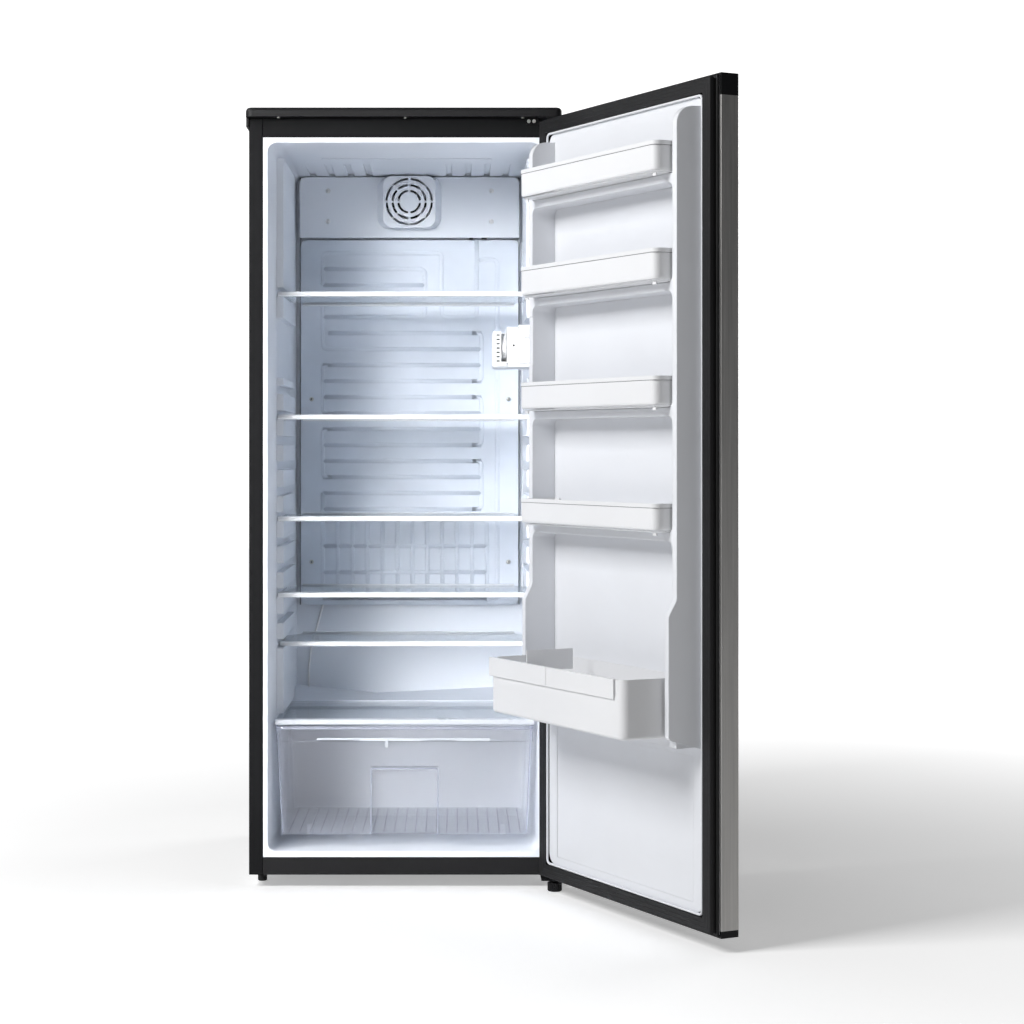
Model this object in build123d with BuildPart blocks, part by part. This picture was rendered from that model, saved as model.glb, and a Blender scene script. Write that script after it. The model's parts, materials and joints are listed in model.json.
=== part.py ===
from build123d import *
import os

# Upright all-refrigerator, millimetres. +Z is up from the floor, X = 0 is the middle of the
# cabinet, Y = 0 is the middle of its depth, and the door is on the -Y side. Everything on the
# door is modelled with the door shut and then turned about the hinge axis by DOOR_OPEN.

# ---- cabinet ----
CABINET_WIDTH = 596.0
CABINET_DEPTH = 600.0
HALF = CABINET_WIDTH / 2
FRONT = -CABINET_DEPTH / 2
REAR = CABINET_DEPTH / 2
BODY_BOTTOM = 24.0
BODY_TOP = 1478.7
SHEET = 1.0  # painted steel
BEND = 2.0  # outer bend radius of the sheet
POST = 27.0  # face width of the folded front posts
POST_LIP = 12.0  # how far a post folds back behind its face
LIP_Y = FRONT + POST_LIP
RAIL_BOTTOM = 1441.5
SILL_TOP = 57.5
FOAM_FRONT = FRONT + 14.0

COVER_HALF = 303.0
COVER_FRONT = FRONT - 22.0
COVER_TOP = 1496.7
COVER_SKIRT = 1461.0
COVER_WALL = 3.0

# ---- inner liner ----
LINER = 2.0  # wall of the vacuum-formed liner
# sections of the hollow, from the opening to the rear wall: y, half width, floor, ceiling, radius
HOLLOW = (
    (FRONT + 2.0, 262.0, 69.0, 1433.0, 18.0),
    (-200.0, 253.0, 72.0, 1431.0, 17.0),
    (112.0, 252.0, 74.0, 1427.0, 16.0),
    (204.0, 243.0, 76.0, 1425.0, 14.0),
)
REAR_WALL = HOLLOW[-1][0]
CEILING_REAR = HOLLOW[-1][3]
HUMP_FRONT = 80.0  # the floor steps up here, over the compressor
HUMP_LIP = 316.0
GUTTER_X = -70.0  # lowest point of the meltwater gutter on the step
GUTTER_Z = (344.0, 318.0, 338.0)  # gutter height at the rear wall: left, lowest, right

# ---- shelf guides moulded in the side walls ----
GUIDE_X = 239.5
GUIDE_FRONT = -200.0
GUIDE_REAR = 100.0
LOWER_GUIDE = (322.0, 982.0)
UPPER_GUIDE = (1101.0, 1414.0)
SLOT_HEIGHT = 18.0
SLOT_PITCH = 50.0
SLOT_FIRST = 450.0
SLOT_COUNT = 11
TOP_SLOT = 1142.0

# ---- shelves ----
SHELF_SLOTS = (TOP_SLOT, 900.0, 700.0, 550.0, 450.0)
SHELF_FRONTS = (-205.0, -205.0, -205.0, -205.0, -160.0)
SHELF_HALF = 250.4
SHELF_REAR = 98.0
SHELF_CLEAR = 0.4  # a shelf rides this far above its guide
TRIM_HEIGHT = 9.6
TRIM_DEPTH = 15.0
REAR_TRIM_HEIGHT = 8.0
REAR_TRIM_DEPTH = 9.0
REAR_TRIM_HALF = 216.0
GLASS = 4.0
GLASS_LIFT = 3.0  # height of the glass above the underside of its trim

# ---- crisper ----
CRISPER_FRONT = -262.0
CRISPER_REAR = 70.0
CRISPER_BOTTOM = 93.0
CRISPER_TOP = 305.0
CRISPER_TOP_HALF = 250.5
CRISPER_LOW_HALF = 241.0
CRISPER_WALL = 2.5
PULL_HALF = 64.0
PULL_TOP = 222.0
PULL_DEPTH = 14.0
LID_BOTTOM = 307.5
LID_HALF = 251.5
LID_FRONT = -265.0
LID_REAR = 74.0

# ---- rear wall equipment ----
PLATE_Y = 190.0
PLATE_HALF = 233.0
PLATE_BOTTOM = 508.0
PLATE_TOP = 1290.0
PLATE_THICK = 2.0
PLATE_SCREWS_X = (-210.0, 212.0)
PLATE_SCREWS_Z = (600.0, 949.0)
FAN_COVER_Y = 176.0
FAN_COVER_HALF = 235.0
FAN_COVER_BOTTOM = 1294.0
FAN_COVER_TOP = 1423.5
FAN_BOX_Y = 149.0
FAN_BOX_HALF = 56.0
FAN_Z = 1368.0
FAN_WALL = 2.0

# ---- control unit on the right wall ----
UNIT_FRONT = -252.0
UNIT_REAR = -112.0
UNIT_X = 172.0
DIAL_X = 188.9
DIAL_WIDTH = 9.6
DIAL_R = 26.5
DIAL_Y = -222.0
DIAL_Z = 1041.0
BLOCK_X = 199.2
STEP_X = 222.0

# ---- door ----
DOOR_OPEN = 117.17  # the door stands open at this angle
HINGE_X = 288.4
HINGE_Y = FRONT - 32.9
DOOR_INNER = FRONT - 18.2  # the plane of the door's inner edge when it is shut
DOOR_WIDTH = 596.0
DOOR_THICK = 37.0
DOOR_BOTTOM = 25.5
DOOR_TOP = 1471.5
TOP_CAP = 37.0
BOTTOM_CAP = 12.0
SKIN_RETURN = 11.0
PIN_R = 4.0
PIN_CLEAR = 0.05
BUSH_R = 7.0

# ---- door liner: a runs from the hinge edge of the door, n from its inner plane ----
FLOOR_N = 12.0
DIKE_A = 38.0
DIKE_WIDE = 19.0
CREST_N = 60.0
LOW_CREST_N = 75.0
RACK_BOTTOMS = (1307.0, 1124.0, 913.0, 702.0)
RACK_TOPS = (1361.0, 1180.5, 966.0, 751.0)
BEAM_TALL = 15.0
RACK_A = 61.0
RACK_N = (14.0, 92.0)
RACK_WALL = 2.2
BIN_BOTTOM = 357.0
BIN_RIM = 428.0
BIN_N = (14.0, 154.0)
GUARD_TOP = 458.0
GUARD_N = (150.2, 157.0)
GUARD_SPLIT = 279.0
GUARD_ENDS = (66.0, 508.0)
FIN_A = 199.0
FIN_TOP = 481.0

HINGE_AXIS = Axis((HINGE_X, HINGE_Y, 0), (0, 0, 1))

os.makedirs("parts", exist_ok=True)


def facing(y):
    """The upright plane at depth y, seen from the front: its first axis is X, its second Z."""
    return Plane.XZ.offset(-y)


def level(z):
    """The horizontal plane at height z."""
    return Plane.XY.offset(z)


def block(x, y, z, mode=Mode.ADD):
    """A box over three (low, high) pairs, in the piece being built."""
    centre = tuple((low + high) / 2 for low, high in (x, y, z))
    size = [abs(high - low) for low, high in (x, y, z)]
    with Locations(centre):
        return Box(*size, mode=mode)


def rod(radius, x, y, z, mode=Mode.ADD):
    """A cylinder along whichever of x, y and z is a (low, high) pair."""
    turns = {0: (0, 90, 0), 1: (90, 0, 0), 2: (0, 0, 0)}
    span = [x, y, z]
    along = next(i for i, v in enumerate(span) if isinstance(v, tuple))
    low, high = span[along]
    span[along] = (low + high) / 2
    with Locations(Location(tuple(span), turns[along])):
        return Cylinder(radius, high - low, mode=mode)


def on_door(part):
    """A door piece, swung from shut to the angle at which the door stands open."""
    return part.rotate(HINGE_AXIS, DOOR_OPEN)


def across(a):
    """X of the shut door's point a."""
    return HALF - a


def above(n):
    """Y of the shut door's height n."""
    return DOOR_INNER + n


def door_block(a, n, z, mode=Mode.ADD):
    """A box in door coordinates, with the door shut."""
    return block((across(a[1]), across(a[0])), (above(n[0]), above(n[1])), z, mode)


# ======================= cabinet shell =======================
# Each side panel folds round the front edge into a post, and back again behind its face.
for hand, side, inward in (("left", -1, Side.LEFT), ("right", 1, Side.RIGHT)):
    with BuildPart() as side_panel:
        with BuildSketch(level(BODY_BOTTOM)):
            with BuildLine():
                FilletPolyline(
                    (side * HALF, REAR),
                    (side * HALF, FRONT),
                    (side * (HALF - POST), FRONT),
                    (side * (HALF - POST), LIP_Y),
                    radius=BEND,
                )
                offset(amount=SHEET, side=inward)
            make_face()
        extrude(amount=BODY_TOP - BODY_BOTTOM)
    side_panel.part.label = f"side_panel_{hand}"
    export_step(side_panel.part, f"parts/side_panel_{hand}.step")

INSIDE = HALF - SHEET
BAY_FRONT = HUMP_FRONT + 30.0
BAY_TOP = HUMP_LIP - 30.0
with BuildPart() as back_panel:
    block((-INSIDE, INSIDE), (REAR - SHEET, REAR), (BAY_TOP, BODY_TOP))
    # shallow stiffening ribs pressed inwards
    for x in (-180, -60, 60, 180):
        block((x - 20, x + 20), (REAR - SHEET - 0.6, REAR - SHEET), (BAY_TOP + 60, BODY_TOP - 60))
back_panel.part.label = "back_panel"
export_step(back_panel.part, "parts/back_panel.step")

RAIL_HALF = HALF - POST - 0.2
with BuildPart() as top_rail:
    block((-RAIL_HALF, RAIL_HALF), (FRONT, FRONT + SHEET), (RAIL_BOTTOM, BODY_TOP))
    block((-RAIL_HALF, RAIL_HALF), (FRONT, LIP_Y), (RAIL_BOTTOM, RAIL_BOTTOM + SHEET))
    block((-RAIL_HALF, RAIL_HALF), (FRONT, FRONT + 30), (BODY_TOP - SHEET, BODY_TOP))
top_rail.part.label = "top_rail"
export_step(top_rail.part, "parts/top_rail.step")

with BuildPart() as bottom_rail:
    block((-RAIL_HALF, RAIL_HALF), (FRONT, FRONT + SHEET), (BODY_BOTTOM, SILL_TOP))
    block((-RAIL_HALF, RAIL_HALF), (FRONT, LIP_Y), (SILL_TOP - SHEET, SILL_TOP))
bottom_rail.part.label = "bottom_rail"
export_step(bottom_rail.part, "parts/bottom_rail.step")

with BuildPart() as base_pan:
    # it starts behind the folded lips of the posts
    block((-INSIDE, INSIDE), (LIP_Y + 0.2, REAR), (BODY_BOTTOM, BODY_BOTTOM + 1.4))
    block((-INSIDE, INSIDE), (REAR - 1.4, REAR), (BODY_BOTTOM, BODY_BOTTOM + 20))
base_pan.part.label = "base_pan"
export_step(base_pan.part, "parts/base_pan.step")

BAY_WALL = 1.0
with BuildPart() as compressor_bay:
    block((-INSIDE, INSIDE), (BAY_FRONT, BAY_FRONT + BAY_WALL), (BODY_BOTTOM + 1.4, BAY_TOP))
    block((-INSIDE, INSIDE), (BAY_FRONT, REAR - SHEET), (BAY_TOP - BAY_WALL, BAY_TOP))
    rod(9.0, GUTTER_X, 190.0, (BAY_TOP - 5, BAY_TOP + 5), mode=Mode.SUBTRACT)
compressor_bay.part.label = "compressor_bay"
export_step(compressor_bay.part, "parts/compressor_bay.step")

# The moulded cover: a flat top with rounded edges, a lip over the door and shallow side skirts.
with BuildPart() as top_cover:
    block((-COVER_HALF, COVER_HALF), (COVER_FRONT, REAR), (BODY_TOP, COVER_TOP))
    fillet(top_cover.edges().filter_by(Axis.Z).sort_by(Axis.Y)[:2], 12)
    fillet(top_cover.faces().sort_by(Axis.Z)[-1].edges(), 8)
    for side in (-1, 1):
        skirt = sorted((side * (HALF + 0.5), side * COVER_HALF))
        block(skirt, (FRONT - 4, REAR), (COVER_SKIRT, BODY_TOP + 9))
    block(
        (-HALF + 4, HALF - 4),
        (COVER_FRONT + COVER_WALL + 24, REAR - COVER_WALL),
        (BODY_TOP, COVER_TOP - COVER_WALL),
        mode=Mode.SUBTRACT,
    )
top_cover.part.label = "top_cover"
export_step(top_cover.part, "parts/top_cover.step")


# ======================= inner liner and foam =======================
def hollow_loft(grow):
    """The tapered hollow of the cabinet, grown all round by grow."""
    sections = []
    for y, half, floor, ceiling, radius in HOLLOW:
        depth = y + grow if y == REAR_WALL else y
        with BuildSketch(facing(depth)) as section:
            with Locations((0, (floor + ceiling) / 2)):
                RectangleRounded(2 * (half + grow), ceiling - floor + 2 * grow, radius + grow)
        sections.append(section.sketch)
    loft(sections, ruled=True)


def hump(shrink):
    """The step over the compressor, its top a gutter falling to the drain."""
    sections = []
    for y, heights in ((HUMP_FRONT + shrink, (HUMP_LIP,) * 3), (REAR_WALL + 12, GUTTER_Z)):
        left, lowest, right = (z - shrink for z in heights)
        with BuildSketch(facing(y)) as section:
            with BuildLine() as outline:
                Polyline(
                    (-HALF, 0),
                    (HALF, 0),
                    (HALF, right),
                    (GUTTER_X, lowest),
                    (-HALF, left),
                    close=True,
                )
            make_face(outline.edges())
        sections.append(section.sketch)
    loft(sections, ruled=True, mode=Mode.SUBTRACT)


with BuildPart() as liner_outside:
    hollow_loft(LINER)
    hump(LINER)

FOAM_GAP = 0.6
with BuildPart() as foam_hollow:
    hollow_loft(LINER + FOAM_GAP)
    hump(LINER + FOAM_GAP)

with BuildPart() as liner_hollow:
    hollow_loft(0)
    hump(0)

SLOTS = [SLOT_FIRST + SLOT_PITCH * i for i in range(SLOT_COUNT)]
GUIDES = []  # the solid stretches of the guides, between the slots
lower = LOWER_GUIDE[0]
for slot in SLOTS:
    GUIDES.append((lower, slot))
    lower = slot + SLOT_HEIGHT
GUIDES.append((lower, LOWER_GUIDE[1]))
GUIDES.append((UPPER_GUIDE[0], TOP_SLOT))
GUIDES.append((TOP_SLOT + SLOT_HEIGHT, UPPER_GUIDE[1]))
FLANGE_HALF = HALF - POST - 0.3
GROOVE_PITCH = 40.0
with BuildPart() as inner_liner:
    add(liner_outside.part)
    with BuildSketch(facing(FRONT + 0.5)):
        with Locations((0, (SILL_TOP + RAIL_BOTTOM) / 2)):
            Rectangle(2 * FLANGE_HALF, RAIL_BOTTOM - SILL_TOP - 0.6)
            RectangleRounded(2 * HOLLOW[0][1], HOLLOW[0][3] - HOLLOW[0][2], 18, mode=Mode.SUBTRACT)
    extrude(amount=-LINER)
    # the ceiling is thicker over the rear grooves
    block((-222, 222), (-10, 190), (CEILING_REAR - 1, CEILING_REAR + 8))
    add(liner_hollow.part, mode=Mode.SUBTRACT)
    for side in (-1, 1):
        for low, high in GUIDES:
            x = sorted((side * GUIDE_X, side * (HOLLOW[1][1] + 0.5)))
            block(x, (GUIDE_FRONT, GUIDE_REAR), (low, high))
            x = sorted((side * (GUIDE_X + LINER), side * (HOLLOW[0][1] + 4)))
            y = (GUIDE_FRONT + LINER, GUIDE_REAR - LINER)
            block(x, y, (low + LINER, high - LINER), mode=Mode.SUBTRACT)
        # air grooves in the ceiling above the evaporator
        for i in range(4):
            x = side * (85 + GROOVE_PITCH * i)
            z = (CEILING_REAR - 4, CEILING_REAR + 5.5)
            block((x - 6.5, x + 6.5), (-5, 186), z, mode=Mode.SUBTRACT)
    # a stiffening bead across the ceiling
    with BuildSketch(level(HOLLOW[1][3] - 3)):
        with Locations((0, -78)):
            SlotOverall(346, 13)
    extrude(amount=2.6)
    for side in (-1, 1):
        # runners under the crisper, and a narrow ledge that its cover lies on
        x = sorted((side * 188, side * 198))
        block(x, (-130, 66), (72.2, CRISPER_BOTTOM - 0.5))
        x = sorted((side * 246, side * (HOLLOW[1][1] + 1)))
        block(x, (GUIDE_FRONT, 72), (CRISPER_TOP + 0.5, LID_BOTTOM - 0.4))
    rod(6.5, GUTTER_X, 190.0, (300, 340), mode=Mode.SUBTRACT)
    rod(3.2, -216.5, 198.8, (325, 360), mode=Mode.SUBTRACT)
inner_liner.part.label = "inner_liner"
export_step(inner_liner.part, "parts/inner_liner.step")

CONDENSER_POCKET = 7.0
with BuildPart() as cabinet_foam:
    block((-INSIDE, INSIDE), (FOAM_FRONT, REAR - SHEET - 0.6), (BODY_BOTTOM + 1.4, BODY_TOP - 1.2))
    block((-HALF, HALF), (BAY_FRONT, REAR), (0, BAY_TOP), mode=Mode.SUBTRACT)
    add(foam_hollow.part, mode=Mode.SUBTRACT)
    block((-222, 222), (-10, 190), (CEILING_REAR - 1, CEILING_REAR + 8), mode=Mode.SUBTRACT)
    for side in (-1, 1):
        x = sorted((side * (INSIDE - CONDENSER_POCKET), side * HALF))
        block(x, (-262, 282), (330, 1400), mode=Mode.SUBTRACT)
    rod(9.0, GUTTER_X, 190.0, (BAY_TOP - 20, 330), mode=Mode.SUBTRACT)
    rod(3.2, -216.5, 198.8, (320, 360), mode=Mode.SUBTRACT)
    # a duct from the left condenser pocket down into the compressor bay
    block((-INSIDE, -INSIDE + CONDENSER_POCKET), (150, 282), (BAY_TOP - 1, 331), mode=Mode.SUBTRACT)
cabinet_foam.part.label = "cabinet_foam"
export_step(cabinet_foam.part, "parts/cabinet_foam.step")

# ======================= rear wall equipment =======================
with BuildPart() as evaporator_plate:
    with BuildSketch(facing(PLATE_Y)):
        with Locations((0, (PLATE_BOTTOM + PLATE_TOP) / 2)):
            RectangleRounded(2 * PLATE_HALF, PLATE_TOP - PLATE_BOTTOM, 14)
    extrude(amount=-PLATE_THICK)
    for x in PLATE_SCREWS_X:
        for z in PLATE_SCREWS_Z:
            rod(2.4, x, (PLATE_Y - 1, PLATE_Y + PLATE_THICK + 1), z, mode=Mode.SUBTRACT)
evaporator_plate.part.label = "evaporator_plate"
export_step(evaporator_plate.part, "parts/evaporator_plate.step")

with BuildPart() as fan_cover:
    plate_mid = (FAN_COVER_BOTTOM + FAN_COVER_TOP) / 2
    plate_tall = FAN_COVER_TOP - FAN_COVER_BOTTOM
    with BuildSketch(facing(FAN_COVER_Y)) as cover_face:
        with Locations((0, plate_mid)):
            Rectangle(2 * FAN_COVER_HALF, plate_tall)
        fillet(cover_face.vertices().group_by(Axis.Y)[-1], 14)
        fillet(cover_face.vertices().group_by(Axis.Y)[0], 3)
    extrude(amount=-(PLATE_Y + 6 - FAN_COVER_Y))
    # the fan box stands out of the cover with sloping sides
    for y, half, tall, radius in (
        (FAN_COVER_Y + 0.5, FAN_BOX_HALF + 12, 55.4, 24),
        (FAN_BOX_Y, FAN_BOX_HALF, 55.0, 20),
    ):
        with BuildSketch(facing(y)):
            with Locations((0, FAN_Z)):
                RectangleRounded(2 * half, 2 * tall, radius)
    loft()
    with BuildSketch(facing(FAN_COVER_Y + FAN_WALL)) as cover_hollow:
        with Locations((0, plate_mid)):
            Rectangle(2 * (FAN_COVER_HALF - FAN_WALL), plate_tall - 2 * FAN_WALL)
        fillet(cover_hollow.vertices().group_by(Axis.Y)[-1], 12)
        fillet(cover_hollow.vertices().group_by(Axis.Y)[0], 1.5)
    extrude(amount=-30, mode=Mode.SUBTRACT)
    for y, half, tall, radius in (
        (FAN_COVER_Y + 3, FAN_BOX_HALF + 10, 52, 22),
        (FAN_BOX_Y + FAN_WALL, FAN_BOX_HALF - FAN_WALL, 52, 18),
    ):
        with BuildSketch(facing(y)):
            with Locations((0, FAN_Z)):
                RectangleRounded(2 * half, 2 * tall, radius)
    loft(mode=Mode.SUBTRACT)
    # three rings of arc slots, split by ribs
    for ring, slots, rib in ((48.2, 8, 8.0), (35.2, 8, 8.0), (23.0, 4, 9.0)):
        sector = 360 / slots
        gap = rib * 57.3 / ring
        with BuildSketch(facing(FAN_BOX_Y - 1)):
            with Locations((0, FAN_Z)):
                for i in range(slots):
                    with BuildLine(mode=Mode.PRIVATE) as arc:
                        CenterArc((0, 0), ring, i * sector + gap / 2, sector - gap)
                    SlotArc(arc.edges()[0], 4.4)
        extrude(amount=-(FAN_WALL + 2), mode=Mode.SUBTRACT)
fan_cover.part.label = "fan_cover"
export_step(fan_cover.part, "parts/fan_cover.step")

SHAFT_R = 1.5
with BuildPart() as fan_motor:
    rod(21, 0, (170, PLATE_Y - 1), FAN_Z)
    rod(6, 0, (167, 171), FAN_Z)
    rod(SHAFT_R, 0, (155, 170), FAN_Z)
    block((-50, 50), (PLATE_Y - 3, PLATE_Y), (FAN_Z - 8, FAN_Z + 8))
    for side in (-1, 1):
        x = sorted((side * 44, side * 50))
        block(x, (PLATE_Y - 3, REAR_WALL), (FAN_Z - 8, FAN_Z + 8))
fan_motor.part.label = "fan_motor"
export_step(fan_motor.part, "parts/fan_motor.step")

BLADES = 5
BLADE_R = 45.0
with BuildPart() as fan_rotor:
    rod(17, 0, (153, 165), FAN_Z)
    for i in range(BLADES):
        tilt = Location((0, 159, FAN_Z), (0, 360 / BLADES * i, 0)) * Location((30, 0, 0), (32, 0, 0))
        with Locations(tilt):
            Box(30, 1.6, 17)
    rod(SHAFT_R + 0.04, 0, (154.8, 166), FAN_Z, mode=Mode.SUBTRACT)
    with BuildSketch(facing(150)) as swept:
        with Locations((0, FAN_Z)):
            Circle(BLADE_R)
    extrude(amount=-20, mode=Mode.INTERSECT)
fan_rotor.part.label = "fan_rotor"
export_step(fan_rotor.part, "parts/fan_rotor.step")

TUBE_R = 2.3
with BuildPart() as capillary_tube:
    with BuildLine():
        route = FilletPolyline(
            (-150, 198.8, 560),
            (-176, 198.8, 538),
            (-187, 198.8, 506),
            (-198.6, 198.8, 463),
            (-212, 198.8, 414),
            (-216.5, 198.8, 372),
            (-216.5, 198.8, 330),
            radius=(18, 40, 60, 60, 60),
        )
    with BuildSketch(Plane(route @ 0, z_dir=route % 0)):
        Circle(TUBE_R)
    sweep()
capillary_tube.part.label = "capillary_tube"
export_step(capillary_tube.part, "parts/capillary_tube.step")

# ======================= control unit =======================
WALL = 2.0
with BuildPart() as control_housing:
    block((STEP_X, 251.0), (UNIT_FRONT, UNIT_REAR), (1009, 1084))
    block((BLOCK_X, STEP_X), (UNIT_FRONT + 3, UNIT_REAR), (1009, 1080))
    fillet(control_housing.edges().filter_by(Axis.X), 2.4)
    block((UNIT_X + 2, 251.0), (UNIT_FRONT + 2, UNIT_REAR), (1002, 1004))
    block((BLOCK_X, 251.0), (UNIT_FRONT + 4, UNIT_REAR), (1002, 1010))
    block(
        (BLOCK_X + WALL, 252.0),
        (UNIT_FRONT + 3 + WALL, UNIT_REAR - WALL),
        (1011, 1080 - WALL),
        mode=Mode.SUBTRACT,
    )
    block((BLOCK_X - 1, BLOCK_X + 3), (-186, -118), (1012, 1066), mode=Mode.SUBTRACT)
    rod(4.0, (BLOCK_X - 1, BLOCK_X + 3), DIAL_Y, DIAL_Z, mode=Mode.SUBTRACT)
    rod(4.2, 236.0, (UNIT_FRONT - 1, UNIT_FRONT + 8), 1062.0, mode=Mode.SUBTRACT)
control_housing.part.label = "control_housing"
export_step(control_housing.part, "parts/control_housing.step")

VENT_ROWS = 7
VENT_PITCH = 8.4
with BuildPart() as lamp_cover:
    block((UNIT_X, BLOCK_X - 0.2), (UNIT_FRONT + 1, UNIT_REAR), (1004.2, 1071))
    fillet(lamp_cover.edges().filter_by(Axis.Z).sort_by(Axis.X)[:2], 5)
    x = (UNIT_X + 1.6, BLOCK_X)
    block(x, (UNIT_FRONT + 2.6, UNIT_REAR - 1.6), (1005.8, 1069.4), mode=Mode.SUBTRACT)
    x = (DIAL_X - 0.6, BLOCK_X)
    block(x, (UNIT_FRONT - 1, DIAL_Y + DIAL_R + 4), (1012, 1075), mode=Mode.SUBTRACT)
    for i in range(VENT_ROWS):
        z = 1013.5 + VENT_PITCH * i
        x = (UNIT_X + 7, DIAL_X - 4)
        block(x, (UNIT_FRONT - 1, UNIT_FRONT + 5), (z - 1.3, z + 1.3), mode=Mode.SUBTRACT)
        for y in (-240, -226, -180, -160, -140):
            block((UNIT_X - 1, UNIT_X + 3), (y - 5, y + 5), (z - 1.3, z + 1.3), mode=Mode.SUBTRACT)
lamp_cover.part.label = "lamp_cover"
export_step(lamp_cover.part, "parts/lamp_cover.step")

with BuildPart() as lamp_bulb:
    with Locations((187.5, -152, 1038)):
        Sphere(13)
    rod(7.5, 187.5, (-142, -122), 1038)
    rod(10, 187.5, (-122, -114.2), 1038)
lamp_bulb.part.label = "lamp_bulb"
export_step(lamp_bulb.part, "parts/lamp_bulb.step")

STEM_R = 3.0
with BuildPart() as thermostat_body:
    block((BLOCK_X + WALL + 0.2, 226), (-243, -205), (1022, 1055))
    rod(STEM_R, (DIAL_X + 0.5, BLOCK_X + 4), DIAL_Y, DIAL_Z)
thermostat_body.part.label = "thermostat_body"
export_step(thermostat_body.part, "parts/thermostat_body.step")

with BuildPart() as thermostat_dial:
    rod(DIAL_R, (DIAL_X, DIAL_X + DIAL_WIDTH), DIAL_Y, DIAL_Z)
    chamfer(thermostat_dial.faces().filter_by(Axis.X).edges(), 0.8)
    rod(STEM_R + 0.05, (DIAL_X - 1, DIAL_X + DIAL_WIDTH + 1), DIAL_Y, DIAL_Z, mode=Mode.SUBTRACT)
thermostat_dial.part.label = "thermostat_dial"
export_step(thermostat_dial.part, "parts/thermostat_dial.step")

with BuildPart() as door_switch:
    rod(3.8, 236.0, (UNIT_FRONT - 8, UNIT_FRONT + 10), 1062.0)
    rod(5.5, 236.0, (UNIT_FRONT + 6.2, UNIT_FRONT + 8), 1062.0)
door_switch.part.label = "door_switch"
export_step(door_switch.part, "parts/door_switch.step")

# ======================= compressor bay =======================
PAN_TOP = BODY_BOTTOM + 1.4
COMPRESSOR = (95.0, 205.0)
with BuildPart() as compressor:
    with BuildSketch(level(52)):
        with Locations(COMPRESSOR):
            Ellipse(88, 68)
    extrude(amount=128)
    fillet(compressor.faces().sort_by(Axis.Z)[-1].edges(), 34)
    fillet(compressor.faces().sort_by(Axis.Z)[0].edges(), 16)
    block((COMPRESSOR[0] - 92, COMPRESSOR[0] + 92), (160, 250), (45, 54))
    block((COMPRESSOR[0] - 128, COMPRESSOR[0] - 84), (180, 232), (92, 144))
    with BuildSketch(level(56)):
        with Locations(COMPRESSOR):
            Ellipse(84, 64)
    extrude(amount=86, mode=Mode.SUBTRACT)
    rod(6, COMPRESSOR[0], COMPRESSOR[1], (40, 60), mode=Mode.SUBTRACT)
    for x in (-76, 76):
        for y in (-30, 30):
            rod(9, COMPRESSOR[0] + x, COMPRESSOR[1] + y, (PAN_TOP, 46))
compressor.part.label = "compressor"
export_step(compressor.part, "parts/compressor.step")

with BuildPart() as drip_tray:
    block((-190, -48), (150, 262), (196, 228))
    block((-187.5, -50.5), (152.5, 259.5), (198.5, 230), mode=Mode.SUBTRACT)
    for x in (-188, -50):
        block((x - 2, x + 2), (204, 216), (PAN_TOP, 200))
drip_tray.part.label = "drip_tray"
export_step(drip_tray.part, "parts/drip_tray.step")

with BuildPart() as drain_hose:
    rod(8.6, GUTTER_X, 190.0, (204, 312))
    rod(6.2, GUTTER_X, 190.0, (200, 320), mode=Mode.SUBTRACT)
drain_hose.part.label = "drain_hose"
export_step(drain_hose.part, "parts/drain_hose.step")


def tube(radius, points, bend):
    """A round tube along straight runs joined by equal bends."""
    with BuildLine(mode=Mode.PRIVATE) as run:
        FilletPolyline(*points, radius=bend)
    path = run.wires()[0]
    with BuildSketch(Plane(path @ 0, z_dir=path % 0)) as section:
        Circle(radius)
    sweep(sections=section.sketch, path=path)


LOOP_Y = (-250.0, -170.0, -90.0, -10.0, 70.0, 150.0, 230.0)
LOOP_Z = (345.0, 1385.0)
with BuildPart() as refrigerant_pipes:
    # filter drier and the suction line beside the compressor
    rod(9, -20, 280, (60, 180))
    tube(3, [(-20, 280, 178), (-20, 280, 250), (80, 262, 250), (80, 205, 250), (80, 205, 180.2)], 8)
    # condenser loops behind the side panels
    for side in (-1, 1):
        x = side * (INSIDE - 3.4)
        loop = []
        for i, y in enumerate(LOOP_Y):
            ends = LOOP_Z if i % 2 else LOOP_Z[::-1]
            loop.append((x, y, ends[0]))
            loop.append((x, y, ends[1]))
        tube(2.4, loop, 30)
refrigerant_pipes.part.label = "refrigerant_pipes"
export_step(refrigerant_pipes.part, "parts/refrigerant_pipes.step")

with BuildPart() as power_inlet:
    block((-262, -214), (REAR - 14, REAR - 1.6), (PAN_TOP, 66))
    rod(6.5, -238, (REAR - 16, REAR), 55)
    rod(4.0, -238, (REAR - 17, REAR + 1), 55, mode=Mode.SUBTRACT)
power_inlet.part.label = "power_inlet"
export_step(power_inlet.part, "parts/power_inlet.step")

# ======================= feet =======================
with BuildPart() as rear_feet:
    for x in (-250, 250):
        rod(15, x, 262, (0, 10))
        rod(5, x, 262, (10, BODY_BOTTOM))
rear_feet.part.label = "rear_feet"
export_step(rear_feet.part, "parts/rear_feet.step")


def levelling_foot(x, y, radius, top, grips):
    """A ribbed pad under a threaded stem."""
    rod(radius, x, y, (0, top))
    chamfer(faces().sort_by(Axis.Z)[0].edges(), 1.5)
    with Locations((x, y, top / 2 + 2)):
        with PolarLocations(radius, grips):
            Cylinder(radius * 0.09, top, mode=Mode.SUBTRACT)


with BuildPart() as levelling_foot_left:
    levelling_foot(-278, -230, 9.0, 16.0, 14)
    rod(4, -278, -230, (16, BODY_BOTTOM - 0.4))
levelling_foot_left.part.label = "levelling_foot_left"
export_step(levelling_foot_left.part, "parts/levelling_foot_left.step")

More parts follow.
